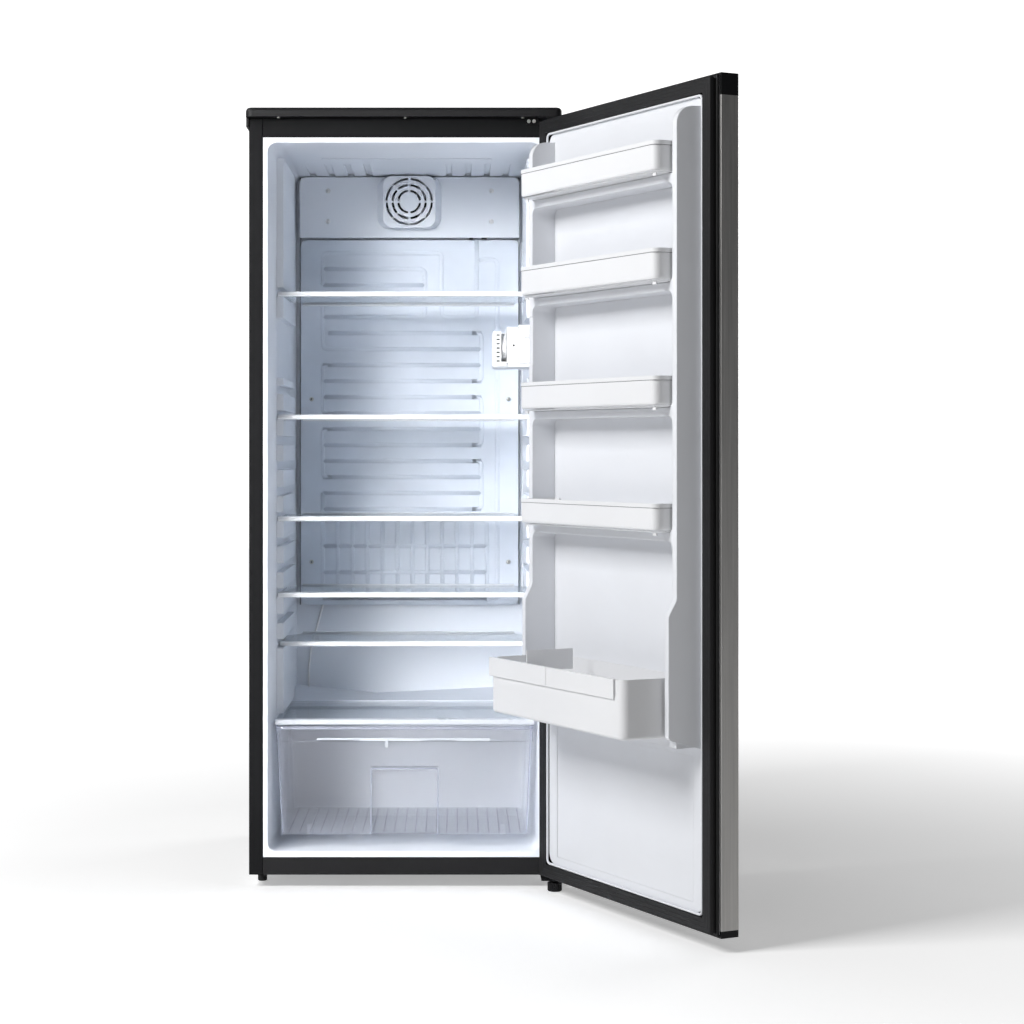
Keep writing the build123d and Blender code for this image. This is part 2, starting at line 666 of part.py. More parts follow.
LOWER_PLATE = (18.4, 22.4)
with BuildPart() as levelling_foot_right:
    levelling_foot(HINGE_X, HINGE_Y, 13.8, 16.4, 20)
levelling_foot_right.part.label = "levelling_foot_right"
export_step(levelling_foot_right.part, "parts/levelling_foot_right.step")

# ======================= hinges =======================
with BuildPart() as lower_hinge:
    with BuildSketch(level(LOWER_PLATE[0])):
        with Locations((HINGE_X, HINGE_Y)):
            Circle(9.4)
        with Locations(((HINGE_X - 9.4 + HALF) / 2 - 8, FRONT + 8)):
            Rectangle(HALF - HINGE_X + 9.4 + 16, 82)
    extrude(amount=LOWER_PLATE[1] - LOWER_PLATE[0])
    block((250, HALF - 1.2), (FRONT + 8, FRONT + 60), (LOWER_PLATE[1], BODY_BOTTOM))
    rod(PIN_R, HINGE_X, HINGE_Y, (LOWER_PLATE[1], DOOR_BOTTOM + BOTTOM_CAP - 1))
    rod(3.4, HINGE_X, HINGE_Y, (16.8, LOWER_PLATE[0]))
lower_hinge.part.label = "lower_hinge"
export_step(lower_hinge.part, "parts/lower_hinge.step")

UPPER_PLATE = (1473.6, 1477.0)
with BuildPart() as upper_hinge:
    with BuildSketch(level(UPPER_PLATE[0])):
        with Locations((HINGE_X, HINGE_Y)):
            Circle(9.4)
        with Locations((HINGE_X - 12, (HINGE_Y + FRONT) / 2)):
            Rectangle(40, FRONT - HINGE_Y - 0.4)
    extrude(amount=UPPER_PLATE[1] - UPPER_PLATE[0])
    block((HINGE_X - 54, HINGE_X + 8), (FRONT - 3, FRONT - 0.2), (1467, UPPER_PLATE[1]))
    rod(PIN_R, HINGE_X, HINGE_Y, (DOOR_TOP - 22, UPPER_PLATE[1]))
upper_hinge.part.label = "upper_hinge"
export_step(upper_hinge.part, "parts/upper_hinge.step")

SCREW_R = 2.2
with BuildPart() as cabinet_screws:
    for x in PLATE_SCREWS_X:
        for z in PLATE_SCREWS_Z:
            rod(4.6, x, (PLATE_Y - 2.6, PLATE_Y), z)
            rod(SCREW_R, x, (PLATE_Y - 1, REAR_WALL), z)
    for x in (-240, 3, 228):
        rod(3.2, x, FRONT - 12, (BODY_TOP - 2.2, BODY_TOP))
    for x in (240, 250):
        rod(3.4, x, (FRONT - 5.0, FRONT - 3), 1472)
    for x in (271, 286):
        rod(4.5, x, FRONT + 30, (LOWER_PLATE[0] - 2.6, LOWER_PLATE[0]))
cabinet_screws.part.label = "cabinet_screws"
export_step(cabinet_screws.part, "parts/cabinet_screws.step")

# ======================= shelves =======================
for i, (slot, front) in enumerate(zip(SHELF_SLOTS, SHELF_FRONTS), start=1):
    low = slot + SHELF_CLEAR
    glass_low = low + GLASS_LIFT
    glass_y = (front + 3, SHELF_REAR - 3)
    glass_z = (glass_low, glass_low + GLASS)
    with BuildPart() as shelf_glass:
        with BuildSketch(level(glass_low)):
            with BuildLine():
                Polyline(
                    (-SHELF_HALF, glass_y[0]),
                    (SHELF_HALF, glass_y[0]),
                    (SHELF_HALF, SHELF_REAR - 84),
                    (REAR_TRIM_HALF + 6, SHELF_REAR - 44),
                    (REAR_TRIM_HALF + 6, glass_y[1]),
                    (-REAR_TRIM_HALF - 6, glass_y[1]),
                    (-REAR_TRIM_HALF - 6, SHELF_REAR - 44),
                    (-SHELF_HALF, SHELF_REAR - 84),
                    close=True,
                )
            make_face()
        extrude(amount=GLASS)
    shelf_glass.part.label = f"shelf_glass_{i}"
    export_step(shelf_glass.part, f"parts/shelf_glass_{i}.step")

    with BuildPart() as shelf_trim:
        x = (-SHELF_HALF, SHELF_HALF)
        front_bar = block(x, (front, front + TRIM_DEPTH), (low, low + TRIM_HEIGHT))
        front_edges = shelf_trim.edges().filter_by(Axis.X).group_by(Axis.Y)[0]
        fillet(front_edges, 3)
        block(x, (front + 3, front + TRIM_DEPTH + 1), glass_z, mode=Mode.SUBTRACT)
        x = (-REAR_TRIM_HALF - 5.5, REAR_TRIM_HALF + 5.5)
        y = (SHELF_REAR - REAR_TRIM_DEPTH, SHELF_REAR)
        block(x, y, (low, low + REAR_TRIM_HEIGHT))
        y = (SHELF_REAR - REAR_TRIM_DEPTH - 1, SHELF_REAR - 3)
        block((-SHELF_HALF, SHELF_HALF), y, glass_z, mode=Mode.SUBTRACT)
    shelf_trim.part.label = f"shelf_trim_{i}"
    export_step(shelf_trim.part, f"parts/shelf_trim_{i}.step")

# ======================= crisper =======================
with BuildPart() as crisper_cover_glass:
    block((-LID_HALF, LID_HALF), (LID_FRONT + 3, LID_REAR), (LID_BOTTOM + 3.4, LID_BOTTOM + 7.4))
crisper_cover_glass.part.label = "crisper_cover_glass"
export_step(crisper_cover_glass.part, "parts/crisper_cover_glass.step")

with BuildPart() as crisper_cover_trim:
    x = (-LID_HALF, LID_HALF)
    block(x, (LID_FRONT, LID_FRONT + 16), (LID_BOTTOM, LID_BOTTOM + 10.5))
    fillet(crisper_cover_trim.edges().filter_by(Axis.X).group_by(Axis.Y)[0], 2.5)
    y = (LID_FRONT + 3, LID_FRONT + 17)
    block(x, y, (LID_BOTTOM + 3.4, LID_BOTTOM + 7.4), mode=Mode.SUBTRACT)
crisper_cover_trim.part.label = "crisper_cover_trim"
export_step(crisper_cover_trim.part, "parts/crisper_cover_trim.step")


def crisper_loft(shrink):
    """The tapered drawer, shrunk by its wall inside."""
    rise = shrink + 0.01 * shrink
    lid = CRISPER_TOP + (1 if shrink else 0)
    sections = []
    for z, half, front, rear in (
        (CRISPER_BOTTOM + rise, CRISPER_LOW_HALF, CRISPER_FRONT + 6, CRISPER_REAR - 10),
        (lid, CRISPER_TOP_HALF, CRISPER_FRONT, CRISPER_REAR),
    ):
        with BuildSketch(level(z)) as section:
            with Locations((0, (front + rear) / 2)):
                RectangleRounded(2 * (half - shrink), rear - front - 2 * shrink, 16 - shrink)
        sections.append(section.sketch)
    loft(sections, ruled=True)


with BuildPart() as crisper_inside:
    crisper_loft(CRISPER_WALL)
    x = (-PULL_HALF - CRISPER_WALL, PULL_HALF + CRISPER_WALL)
    y = (CRISPER_FRONT - 5, CRISPER_FRONT + 6 + PULL_DEPTH + CRISPER_WALL)
    block(x, y, (CRISPER_BOTTOM - 5, PULL_TOP + CRISPER_WALL), mode=Mode.SUBTRACT)

with BuildPart() as crisper_drawer:
    crisper_loft(0)
    y = (CRISPER_FRONT - 5, CRISPER_FRONT + 6 + PULL_DEPTH)
    block((-PULL_HALF, PULL_HALF), y, (CRISPER_BOTTOM - 5, PULL_TOP), mode=Mode.SUBTRACT)
    add(crisper_inside.part, mode=Mode.SUBTRACT)
crisper_drawer.part.label = "crisper_drawer"
export_step(crisper_drawer.part, "parts/crisper_drawer.step")

SLIDER_Z = 280.0
with BuildPart() as humidity_slider:
    y = (CRISPER_FRONT - 3.0, CRISPER_FRONT - 0.4)
    block((-169, 166), y, (SLIDER_Z - 1.5, SLIDER_Z + 2.0))
    block((-86, 33), y, (SLIDER_Z - 4, SLIDER_Z))
    block((100, 164), y, (SLIDER_Z - 4, SLIDER_Z))
    block((-37, -31), (y[0] - 3, y[1]), (SLIDER_Z - 16, SLIDER_Z))
humidity_slider.part.label = "humidity_slider"
export_step(humidity_slider.part, "parts/humidity_slider.step")

# ======================= door shell =======================
SKIN_BOTTOM = DOOR_BOTTOM + BOTTOM_CAP
SKIN_TOP = DOOR_TOP - TOP_CAP
with BuildPart() as door_skin:
    with BuildSketch(level(SKIN_BOTTOM)):
        with BuildLine():
            FilletPolyline(
                (across(SKIN_RETURN), above(0)),
                (across(0), above(0)),
                (across(0), above(-DOOR_THICK)),
                (across(DOOR_WIDTH), above(-DOOR_THICK)),
                (across(DOOR_WIDTH), above(0)),
                (across(DOOR_WIDTH - SKIN_RETURN), above(0)),
                radius=(1.6, 5, 5, 1.6),
            )
            offset(amount=SHEET, side=Side.RIGHT)
        make_face()
    extrude(amount=SKIN_TOP - SKIN_BOTTOM)
door_skin.part = on_door(door_skin.part)
door_skin.part.label = "door_skin"
export_step(door_skin.part, "parts/door_skin.step")

with BuildPart() as door_foam:
    door_block((6.5, DOOR_WIDTH - 6.5), (-DOOR_THICK + SHEET, -SHEET), (SKIN_BOTTOM, SKIN_TOP))
door_foam.part = on_door(door_foam.part)
door_foam.part.label = "door_foam"
export_step(door_foam.part, "parts/door_foam.step")


def cap(low, high, wall_low, wall_high):
    """A moulded end cap, hollow towards the door, with a boss round the hinge bushing."""
    door_block((0, DOOR_WIDTH), (-DOOR_THICK, 0), (low, high))
    fillet(edges().filter_by(Axis.Z).group_by(Axis.Y)[0], 5)
    wall = 2.5
    a = (wall, DOOR_WIDTH - wall)
    door_block(a, (-DOOR_THICK + wall, -wall), (wall_low, wall_high), mode=Mode.SUBTRACT)
    rod(12.5, HINGE_X - 1.6, HINGE_Y, (low + 0.2, high - 0.2))
    rod(BUSH_R, HINGE_X, HINGE_Y, (low - 1, high + 1), mode=Mode.SUBTRACT)
    # what the boss adds outside the door is trimmed off
    door_block((-20, 0), (-DOOR_THICK - 20, 20), (low - 2, high + 2), mode=Mode.SUBTRACT)
    door_block((-20, 60), (0, 20), (low - 2, high + 2), mode=Mode.SUBTRACT)


with BuildPart() as door_top_cap:
    cap(SKIN_TOP, DOOR_TOP, SKIN_TOP - 1, DOOR_TOP - 2.5)
door_top_cap.part = on_door(door_top_cap.part)
door_top_cap.part.label = "door_top_cap"
export_step(door_top_cap.part, "parts/door_top_cap.step")

with BuildPart() as door_bottom_cap:
    cap(DOOR_BOTTOM, SKIN_BOTTOM, DOOR_BOTTOM + 2.5, SKIN_BOTTOM + 1)
door_bottom_cap.part = on_door(door_bottom_cap.part)
door_bottom_cap.part.label = "door_bottom_cap"
export_step(door_bottom_cap.part, "parts/door_bottom_cap.step")

with BuildPart() as hinge_bushings:
    for low, high in ((DOOR_BOTTOM, SKIN_BOTTOM - 0.2), (SKIN_TOP + 8, DOOR_TOP)):
        rod(BUSH_R, HINGE_X, HINGE_Y, (low, high))
        rod(PIN_R + PIN_CLEAR, HINGE_X, HINGE_Y, (low - 1, high + 1), mode=Mode.SUBTRACT)
hinge_bushings.part = on_door(hinge_bushings.part)
hinge_bushings.part.label = "hinge_bushings"
export_step(hinge_bushings.part, "parts/hinge_bushings.step")

# ======================= door liner =======================
BORDER = 5.0
DIKE_TOP = 1417.0
DIKE_STEP = (562.0, 590.0)
DIKE_FOOT = (338.0, 356.0)
WINDOW_R = 12.0
DRAFT = 7.0
DRAFT_N = (13.0, 78.0)


def dike(a_low, a_high, o):
    """One upright dike of the door liner, its crest higher beside the bottle bin."""
    with BuildSketch(Plane.YZ.offset(across(a_high))) as profile:
        with BuildLine() as outline:
            FilletPolyline(
                (above(-1), DIKE_FOOT[0] + o),
                (above(FLOOR_N - o), DIKE_FOOT[0] + o),
                (above(LOW_CREST_N - o), DIKE_FOOT[1] + o),
                (above(LOW_CREST_N - o), DIKE_STEP[0]),
                (above(CREST_N - o), DIKE_STEP[1]),
                (above(CREST_N - o), DIKE_TOP - o),
                (above(-1), DIKE_TOP + 3 - o),
                radius=(6, 8, 16, 16, 30 - o),
            )
            Line((above(-1), DIKE_TOP + 3 - o), (above(-1), DIKE_FOOT[0] + o))
        make_face(outline.edges())
    extrude(profile.sketch, amount=a_high - a_low)


def relief(o):
    """The raised shape of the door liner, each face drawn back by o."""
    a = (DIKE_A - 2 + o, DOOR_WIDTH - DIKE_A + 2 - o)
    door_block(a, (-1, FLOOR_N - o), (60 + o, 1437 - o))
    fillet(edges().filter_by(Axis.Y), 22 - o)
    dike(DIKE_A + o, DIKE_A + DIKE_WIDE - o, o)
    dike(DOOR_WIDTH - DIKE_A - DIKE_WIDE + o, DOOR_WIDTH - DIKE_A - o, o)
    a = (DIKE_A + 6 + o, DOOR_WIDTH - DIKE_A - 6 - o)
    for low in RACK_BOTTOMS:
        door_block(a, (-1, CREST_N - o), (low - BEAM_TALL + o, low - 0.5 - o))
    door_block(a, (-1, CREST_N - o), (DIKE_FOOT[1] - BEAM_TALL + o, DIKE_FOOT[1] - o))
    # the spaces between the beams have rounded corners
    tops = (*(low - 0.5 for low in RACK_BOTTOMS[1:]), DIKE_FOOT[1])
    for bottom, beam in zip(tops, RACK_BOTTOMS):
        top = beam - BEAM_TALL
        wide = DOOR_WIDTH - 2 * (DIKE_A + DIKE_WIDE)
        for shift, mode in ((4.0, Mode.ADD), (0.0, Mode.SUBTRACT)):
            base = -1.0 if shift else FLOOR_N - o
            size = (wide + 2 * (o + shift), top - bottom + 2 * (o + shift))
            with BuildSketch(facing(above(base))) as window:
                with Locations((across(DOOR_WIDTH / 2), (bottom + top) / 2)):
                    if shift:
                        Rectangle(*size)
                    else:
                        RectangleRounded(*size, WINDOW_R + o)
            extrude(window.sketch, amount=base - CREST_N + o, mode=mode)
    # the outer faces of the dikes lean inwards, so that they clear the cabinet's opening
    for edge, side in ((DIKE_A, 1), (DOOR_WIDTH - DIKE_A, -1)):
        with BuildSketch(level(DIKE_FOOT[0] - 10)) as wedge:
            with BuildLine() as outline:
                Polyline(
                    (across(edge + side * o), above(DRAFT_N[0])),
                    (across(edge + side * (o + DRAFT)), above(DRAFT_N[1])),
                    (across(edge - side * 12), above(DRAFT_N[1])),
                    (across(edge - side * 12), above(DRAFT_N[0])),
                    close=True,
                )
            make_face(outline.edges())
        extrude(wedge.sketch, amount=DIKE_TOP + 20 - DIKE_FOOT[0], mode=Mode.SUBTRACT)


with BuildPart() as liner_back:
    relief(LINER)

with BuildPart() as door_liner:
    relief(0)
    door_block((BORDER, DOOR_WIDTH - BORDER), (0, LINER), (DOOR_BOTTOM + 6, DOOR_TOP - 6))
    add(liner_back.part, mode=Mode.SUBTRACT)
    door_block((0, DOOR_WIDTH), (-5, 0), (DOOR_BOTTOM, DOOR_TOP), mode=Mode.SUBTRACT)
    # a shallow panel below the bin
    door_block((66, 530), (FLOOR_N - 0.9, FLOOR_N + 1), (76, 322), mode=Mode.SUBTRACT)
    # the hinge-side crest is relieved opposite the control unit
    door_block((DIKE_A - 1, DIKE_A + DIKE_WIDE + 1), (CREST_N - 1.2, 80), (1000, 1090), Mode.SUBTRACT)
door_liner.part = on_door(door_liner.part)
door_liner.part.label = "door_liner"
export_step(door_liner.part, "parts/door_liner.step")

# The gasket: a foot on the liner, a folded bellows and a magnet head, as four joined lengths.
GASKET_STEPS = ((3.0, 32.0, 2.0, 6.0), (9.0, 27.0, 6.0, 11.0), (7.0, 31.0, 11.0, 17.4))
with BuildPart() as door_gasket:
    for outer, inner, low, high in GASKET_STEPS:
        with BuildSketch(facing(above(low))):
            with Locations((0, (DOOR_BOTTOM + DOOR_TOP) / 2)):
                tall = DOOR_TOP - DOOR_BOTTOM
                Rectangle(DOOR_WIDTH - 2 * outer, tall - 2 * outer)
                Rectangle(DOOR_WIDTH - 2 * inner, tall - 2 * inner, mode=Mode.SUBTRACT)
        extrude(amount=-(high - low))
door_gasket.part = on_door(door_gasket.part)
door_gasket.part.label = "door_gasket"
export_step(door_gasket.part, "parts/door_gasket.step")


# ======================= door racks and bottle bin =======================
def tray_outline(a_low, a_high, n_low, n_high, radius, taper, grow):
    """Plan of a rack: square at the door, rounded at its front corners."""
    with BuildLine() as outline:
        FilletPolyline(
            (across(a_low - grow), above(n_low)),
            (across(a_low + taper - grow), above(n_high + grow)),
            (across(a_high - taper + grow), above(n_high + grow)),
            (across(a_high + grow), above(n_low)),
            radius=radius + grow,
        )
        Line((across(a_high + grow), above(n_low)), (across(a_low - grow), above(n_low)))
    make_face(outline.edges())


RIM_TALL = 7.0
RIM_PROUD = 1.2
for i, (low, high) in enumerate(zip(RACK_BOTTOMS, RACK_TOPS), start=1):
    a = (RACK_A, DOOR_WIDTH - RACK_A)
    with BuildPart() as door_rack:
        with BuildSketch(level(low)):
            tray_outline(*a, *RACK_N, 13, 2, 0)
        extrude(amount=high - low)
        fillet(door_rack.faces().sort_by(Axis.Z)[0].edges().sort_by(Axis.Y)[1:], 10)
        with BuildSketch(level(high - RIM_TALL)):
            tray_outline(*a, *RACK_N, 13, 2, RIM_PROUD)
        extrude(amount=RIM_TALL)
        with BuildSketch(level(low + RACK_WALL)):
            inner = (RACK_N[0] + RACK_WALL, RACK_N[1] - RACK_WALL)
            tray_outline(a[0] + RACK_WALL, a[1] - RACK_WALL, *inner, 10.8, 2, 0)
        extrude(amount=high - low, mode=Mode.SUBTRACT)
        # the back wall is low
        z = (low + 20, high + 1)
        door_block((a[0] + 20, a[1] - 20), (RACK_N[0] - 1, RACK_N[0] + 4), z, mode=Mode.SUBTRACT)
    door_rack.part = on_door(door_rack.part)
    door_rack.part.label = f"door_rack_{i}"
    export_step(door_rack.part, f"parts/door_rack_{i}.step")

BIN_TAPER = 5.0
with BuildPart() as bottle_bin:
    a = (RACK_A, DOOR_WIDTH - RACK_A)
    with BuildSketch(level(BIN_BOTTOM)):
        tray_outline(*a, *BIN_N, 15, BIN_TAPER, 0)
    extrude(amount=GUARD_TOP - BIN_BOTTOM)
    fillet(bottle_bin.faces().sort_by(Axis.Z)[0].edges().sort_by(Axis.Y)[1:], 6)
    with BuildSketch(level(BIN_BOTTOM + 2.4)):
        inner = (BIN_N[0] + 2.4, BIN_N[1] - 2.4)
        tray_outline(a[0] + 2.4, a[1] - 2.4, *inner, 12.6, BIN_TAPER, 0)
    extrude(amount=200, mode=Mode.SUBTRACT)
    # the front wall stops lower, where the guards run
    door_block((GUARD_ENDS[0] - 2, GUARD_ENDS[1] + 2), (140, 160), (BIN_RIM, 470), Mode.SUBTRACT)
bottle_bin.part = on_door(bottle_bin.part)
bottle_bin.part.label = "bottle_bin"
export_step(bottle_bin.part, "parts/bottle_bin.step")

GUARD_GAP = 0.5
for name, low, high in (
    ("inner", GUARD_ENDS[0], GUARD_SPLIT - GUARD_GAP),
    ("outer", GUARD_SPLIT + GUARD_GAP, GUARD_ENDS[1]),
):
    with BuildPart() as bin_guard:
        door_block((low, high), (BIN_N[1] + 0.4, GUARD_N[1]), (BIN_RIM - 4, GUARD_TOP))
        door_block((low, high), (GUARD_N[0], GUARD_N[1]), (BIN_RIM + 0.4, GUARD_TOP))
        if name == "inner":
            # a fin that reaches back to keep bottles apart
            door_block((FIN_A - 1.1, FIN_A + 1.1), (56, GUARD_N[0] + 1), (444, FIN_TOP))
            fillet(bin_guard.edges().filter_by(Axis.X).sort_by(Axis.Z)[-1:], 1)
    bin_guard.part = on_door(bin_guard.part)
    bin_guard.part.label = f"bin_guard_{name}"
    export_step(bin_guard.part, f"parts/bin_guard_{name}.step")
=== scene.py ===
import bmesh
import bpy
import json
import math
from mathutils import Matrix, Vector

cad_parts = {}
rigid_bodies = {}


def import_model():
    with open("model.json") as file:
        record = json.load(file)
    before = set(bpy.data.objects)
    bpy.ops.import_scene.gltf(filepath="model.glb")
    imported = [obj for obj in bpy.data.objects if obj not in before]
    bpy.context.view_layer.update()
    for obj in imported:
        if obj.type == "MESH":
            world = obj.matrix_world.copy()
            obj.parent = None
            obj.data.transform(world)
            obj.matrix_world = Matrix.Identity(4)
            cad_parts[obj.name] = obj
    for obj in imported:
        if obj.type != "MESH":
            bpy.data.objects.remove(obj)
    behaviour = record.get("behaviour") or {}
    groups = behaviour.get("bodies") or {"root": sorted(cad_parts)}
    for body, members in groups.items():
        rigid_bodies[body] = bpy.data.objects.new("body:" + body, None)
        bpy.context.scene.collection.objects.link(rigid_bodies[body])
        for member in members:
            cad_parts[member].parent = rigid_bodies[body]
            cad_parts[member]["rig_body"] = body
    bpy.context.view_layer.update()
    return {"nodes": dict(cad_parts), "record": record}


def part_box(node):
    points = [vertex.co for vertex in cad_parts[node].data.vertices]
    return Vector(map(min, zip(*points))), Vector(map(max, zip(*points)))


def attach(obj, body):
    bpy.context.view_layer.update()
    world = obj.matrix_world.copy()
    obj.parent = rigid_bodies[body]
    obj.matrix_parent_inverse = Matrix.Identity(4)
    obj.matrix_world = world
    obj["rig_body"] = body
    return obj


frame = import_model()
nodes = frame["nodes"]
scene = bpy.context.scene
MM = 0.001
BEVEL_SAMPLES = 4  # of the shading that rounds edges
EDGE_SEGMENTS = 3  # of the rounded edges of small blocks
PAINT_EDGE = 0.0012

# The door's own coordinates: a from its hinge edge, n from its inner plane, z up.
swing = next(j for j in frame["record"]["behaviour"]["joints"] if j["name"] == "door_swing")
HINGE = Vector(swing["pos_m"])
OPEN = math.radians(-swing["range_deg"][0])
DOOR_EDGE_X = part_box("side_panel_right")[1].x
DOOR_PLANE_Y = -0.3182
TURN = Matrix.Rotation(OPEN, 3, "Z")
CLOSED_TO_OPEN = Matrix.Translation(HINGE) @ TURN.to_4x4() @ Matrix.Translation(-HINGE)


def on_door(a, n, z):
    """A point of the door, given in millimetres in the door's own coordinates."""
    shut = Vector((DOOR_EDGE_X - a * MM, DOOR_PLANE_Y + n * MM, z * MM))
    return CLOSED_TO_OPEN @ shut


# ------------------------------------------------------------------ materials
def new_material(name):
    """A node material, with its tree and its main shader."""
    material = bpy.data.materials.new(name)
    material.use_nodes = True
    tree = material.node_tree
    shader = tree.nodes["Principled BSDF"]
    return material, tree, shader


def noise(tree, scale, detail=3.0, stretch=(1, 1, 1)):
    """Noise in the object's own metres, so that its grain has a real size."""
    coords = tree.nodes.new("ShaderNodeTexCoord")
    mapping = tree.nodes.new("ShaderNodeMapping")
    mapping.inputs["Scale"].default_value = stretch
    texture = tree.nodes.new("ShaderNodeTexNoise")
    texture.inputs["Scale"].default_value = scale
    texture.inputs["Detail"].default_value = detail
    tree.links.new(coords.outputs["Object"], mapping.inputs["Vector"])
    tree.links.new(mapping.outputs["Vector"], texture.inputs["Vector"])
    return texture.outputs["Fac"]


def ramp(tree, source, low, high, start=0.35, end=0.65):
    """Maps a grey value to a blend between two colours or levels."""
    node = tree.nodes.new("ShaderNodeValToRGB")
    node.color_ramp.elements[0].position = start
    node.color_ramp.elements[1].position = end
    node.color_ramp.elements[0].color = (*low, 1)
    node.color_ramp.elements[1].color = (*high, 1)
    tree.links.new(source, node.inputs["Fac"])
    return node.outputs["Color"]


def spread(tree, source, low, high):
    """Maps a grey value from 0..1 to low..high."""
    node = tree.nodes.new("ShaderNodeMapRange")
    node.inputs["To Min"].default_value = low
    node.inputs["To Max"].default_value = high
    tree.links.new(source, node.inputs["Value"])
    return node.outputs["Result"]


def bump(tree, shader, source, strength, distance, below=None):
    """Fine relief on the shader, on top of the normal given as below."""
    node = tree.nodes.new("ShaderNodeBump")
    node.inputs["Strength"].default_value = strength
    node.inputs["Distance"].default_value = distance
    tree.links.new(source, node.inputs["Height"])
    if below is not None:
        tree.links.new(below, node.inputs["Normal"])
    tree.links.new(node.outputs["Normal"], shader.inputs["Normal"])


def soft_edges(tree, radius):
    """Rounds the shading of sharp moulded edges."""
    node = tree.nodes.new("ShaderNodeBevel")
    node.samples = BEVEL_SAMPLES
    node.inputs["Radius"].default_value = radius
    return node.outputs["Normal"]


def moulded(name, colour, rough, grain=900, depth=0.00003, edge=0.0012, tint=0.03, sheen=0.5):
    """Injection-moulded or vacuum-formed plastic: faint mottling, fine grain, soft edges."""
    material, tree, shader = new_material(name)
    dark = tuple(c * (1 - tint) for c in colour)
    light = tuple(min(1, c * (1 + tint)) for c in colour)
    cloudy = noise(tree, 5, 2)
    tree.links.new(ramp(tree, cloudy, dark, light), shader.inputs["Base Color"])
    fine = noise(tree, grain, 4)
    patches = spread(tree, noise(tree, 26, 3), rough * 0.85, rough * 1.2)
    tree.links.new(patches, shader.inputs["Roughness"])
    bump(tree, shader, fine, 0.5, depth, soft_edges(tree, edge) if edge else None)
    shader.inputs["Specular IOR Level"].default_value = sheen
    return material


def orange_peel(name, colour, rough, sheen=0.2):
    """Sprayed paint on sheet steel, with its orange-peel texture."""
    material, tree, shader = new_material(name)
    shader.inputs["Specular IOR Level"].default_value = sheen
    dark = tuple(c * 0.85 for c in colour)
    light = tuple(c * 1.18 for c in colour)
    tree.links.new(ramp(tree, noise(tree, 4, 3), dark, light), shader.inputs["Base Color"])
    patches = spread(tree, noise(tree, 60, 4), rough * 0.8, rough * 1.25)
    tree.links.new(patches, shader.inputs["Roughness"])
    peel = noise(tree, 420, 2)
    bump(tree, shader, peel, 0.55, 0.00035, soft_edges(tree, PAINT_EDGE))
    return material


def brushed(name, colour, stretch):
    """Stainless sheet with a fine brushed grain along one direction."""
    material, tree, shader = new_material(name)
    grain = noise(tree, 260, 5, stretch)
    dark = tuple(c * 0.88 for c in colour)
    light = tuple(min(1, c * 1.08) for c in colour)
    tree.links.new(ramp(tree, grain, dark, light, 0.3, 0.7), shader.inputs["Base Color"])
    tree.links.new(spread(tree, grain, 0.30, 0.46), shader.inputs["Roughness"])
    shader.inputs["Metallic"].default_value = 0.85
    bump(tree, shader, grain, 0.35, 0.00004)
    return material


def metal(name, colour, rough, metallic=1.0, grain=120):
    """Plain or coated metal with patchy colour and gloss."""
    material, tree, shader = new_material(name)
    dark = tuple(c * 0.8 for c in colour)
    light = tuple(min(1, c * 1.1) for c in colour)
    tree.links.new(ramp(tree, noise(tree, grain, 4), dark, light), shader.inputs["Base Color"])
    patches = spread(tree, noise(tree, 40, 4), rough * 0.7, rough * 1.3)
    tree.links.new(patches, shader.inputs["Roughness"])
    shader.inputs["Metallic"].default_value = metallic
    bump(tree, shader, noise(tree, 500, 3), 0.3, 0.00005)
    return material


def clear(name, colour, facing, grazing, rough=0.03, ripple=0.0001):
    """Clear sheet: nearly invisible face on, reflecting at a grazing angle."""
    material, tree, shader = new_material(name)
    weight = tree.nodes.new("ShaderNodeLayerWeight")
    weight.inputs["Blend"].default_value = 0.35
    tree.links.new(spread(tree, weight.outputs["Facing"], facing, grazing), shader.inputs["Alpha"])
    tone = tuple(c * 0.94 for c in colour)
    tree.links.new(ramp(tree, noise(tree, 6, 2), tone, colour), shader.inputs["Base Color"])
    shader.inputs["Roughness"].default_value = rough
    shader.inputs["IOR"].default_value = 1.5
    shader.inputs["Specular IOR Level"].default_value = 0.9
    bump(tree, shader, noise(tree, 14, 2), 0.2, ripple)
    return material


def foam(name, colour):
    """Rigid insulating foam with an open-celled surface."""
    material, tree, shader = new_material(name)
    cells = noise(tree, 300, 6)
    dark = tuple(c * 0.75 for c in colour)
    tree.links.new(ramp(tree, cells, dark, colour), shader.inputs["Base Color"])
    shader.inputs["Roughness"].default_value = 0.9
    bump(tree, shader, cells, 0.8, 0.001)
    return material


LINER = moulded("liner_plastic", (0.85, 0.885, 0.945), 0.30, 700, 0.00002, 0.002, 0.012, 0.45)
DOOR_LINER = moulded("door_liner_plastic", (0.82, 0.835, 0.87), 0.33, 700, 0.00002, 0.003, 0.012, 0.45)
WHITE = moulded("white_moulding", (0.83, 0.835, 0.85), 0.32, 1200, 0.00002, 0.0012, 0.012, 0.45)
UNIT = moulded("control_moulding", (0.80, 0.81, 0.83), 0.38, 1200, 0.00002, 0.001, 0.01, 0.4)
# the shelf trims' plastic, painted darker as shade against the light that falls on the crisper
SHADED_CRISPER_TRIM = moulded("crisper_trim_moulding", (0.58, 0.61, 0.66), 0.28,
                       900, 0.00002, 0.001, 0.01, 0.5)
TRIM = moulded("shelf_trim_moulding", (0.86, 0.88, 0.91), 0.22, 900, 0.00002, 0.001, 0.01, 0.6)
BLACK = moulded("black_moulding", (0.008, 0.008, 0.009), 0.45, 1500, 0.00008, 0.001, 0.12, 0.2)
# dark mouldings, and the painted shade behind the lamp vents
DARK_AND_SHADE = moulded("dark_moulding", (0.035, 0.035, 0.037), 0.5, 900, 0.00006, 0.001, 0.12, 0.4)
RUBBER = moulded("gasket_rubber", (0.010, 0.010, 0.011), 0.5, 1800, 0.00005, 0.0006, 0.15, 0.35)
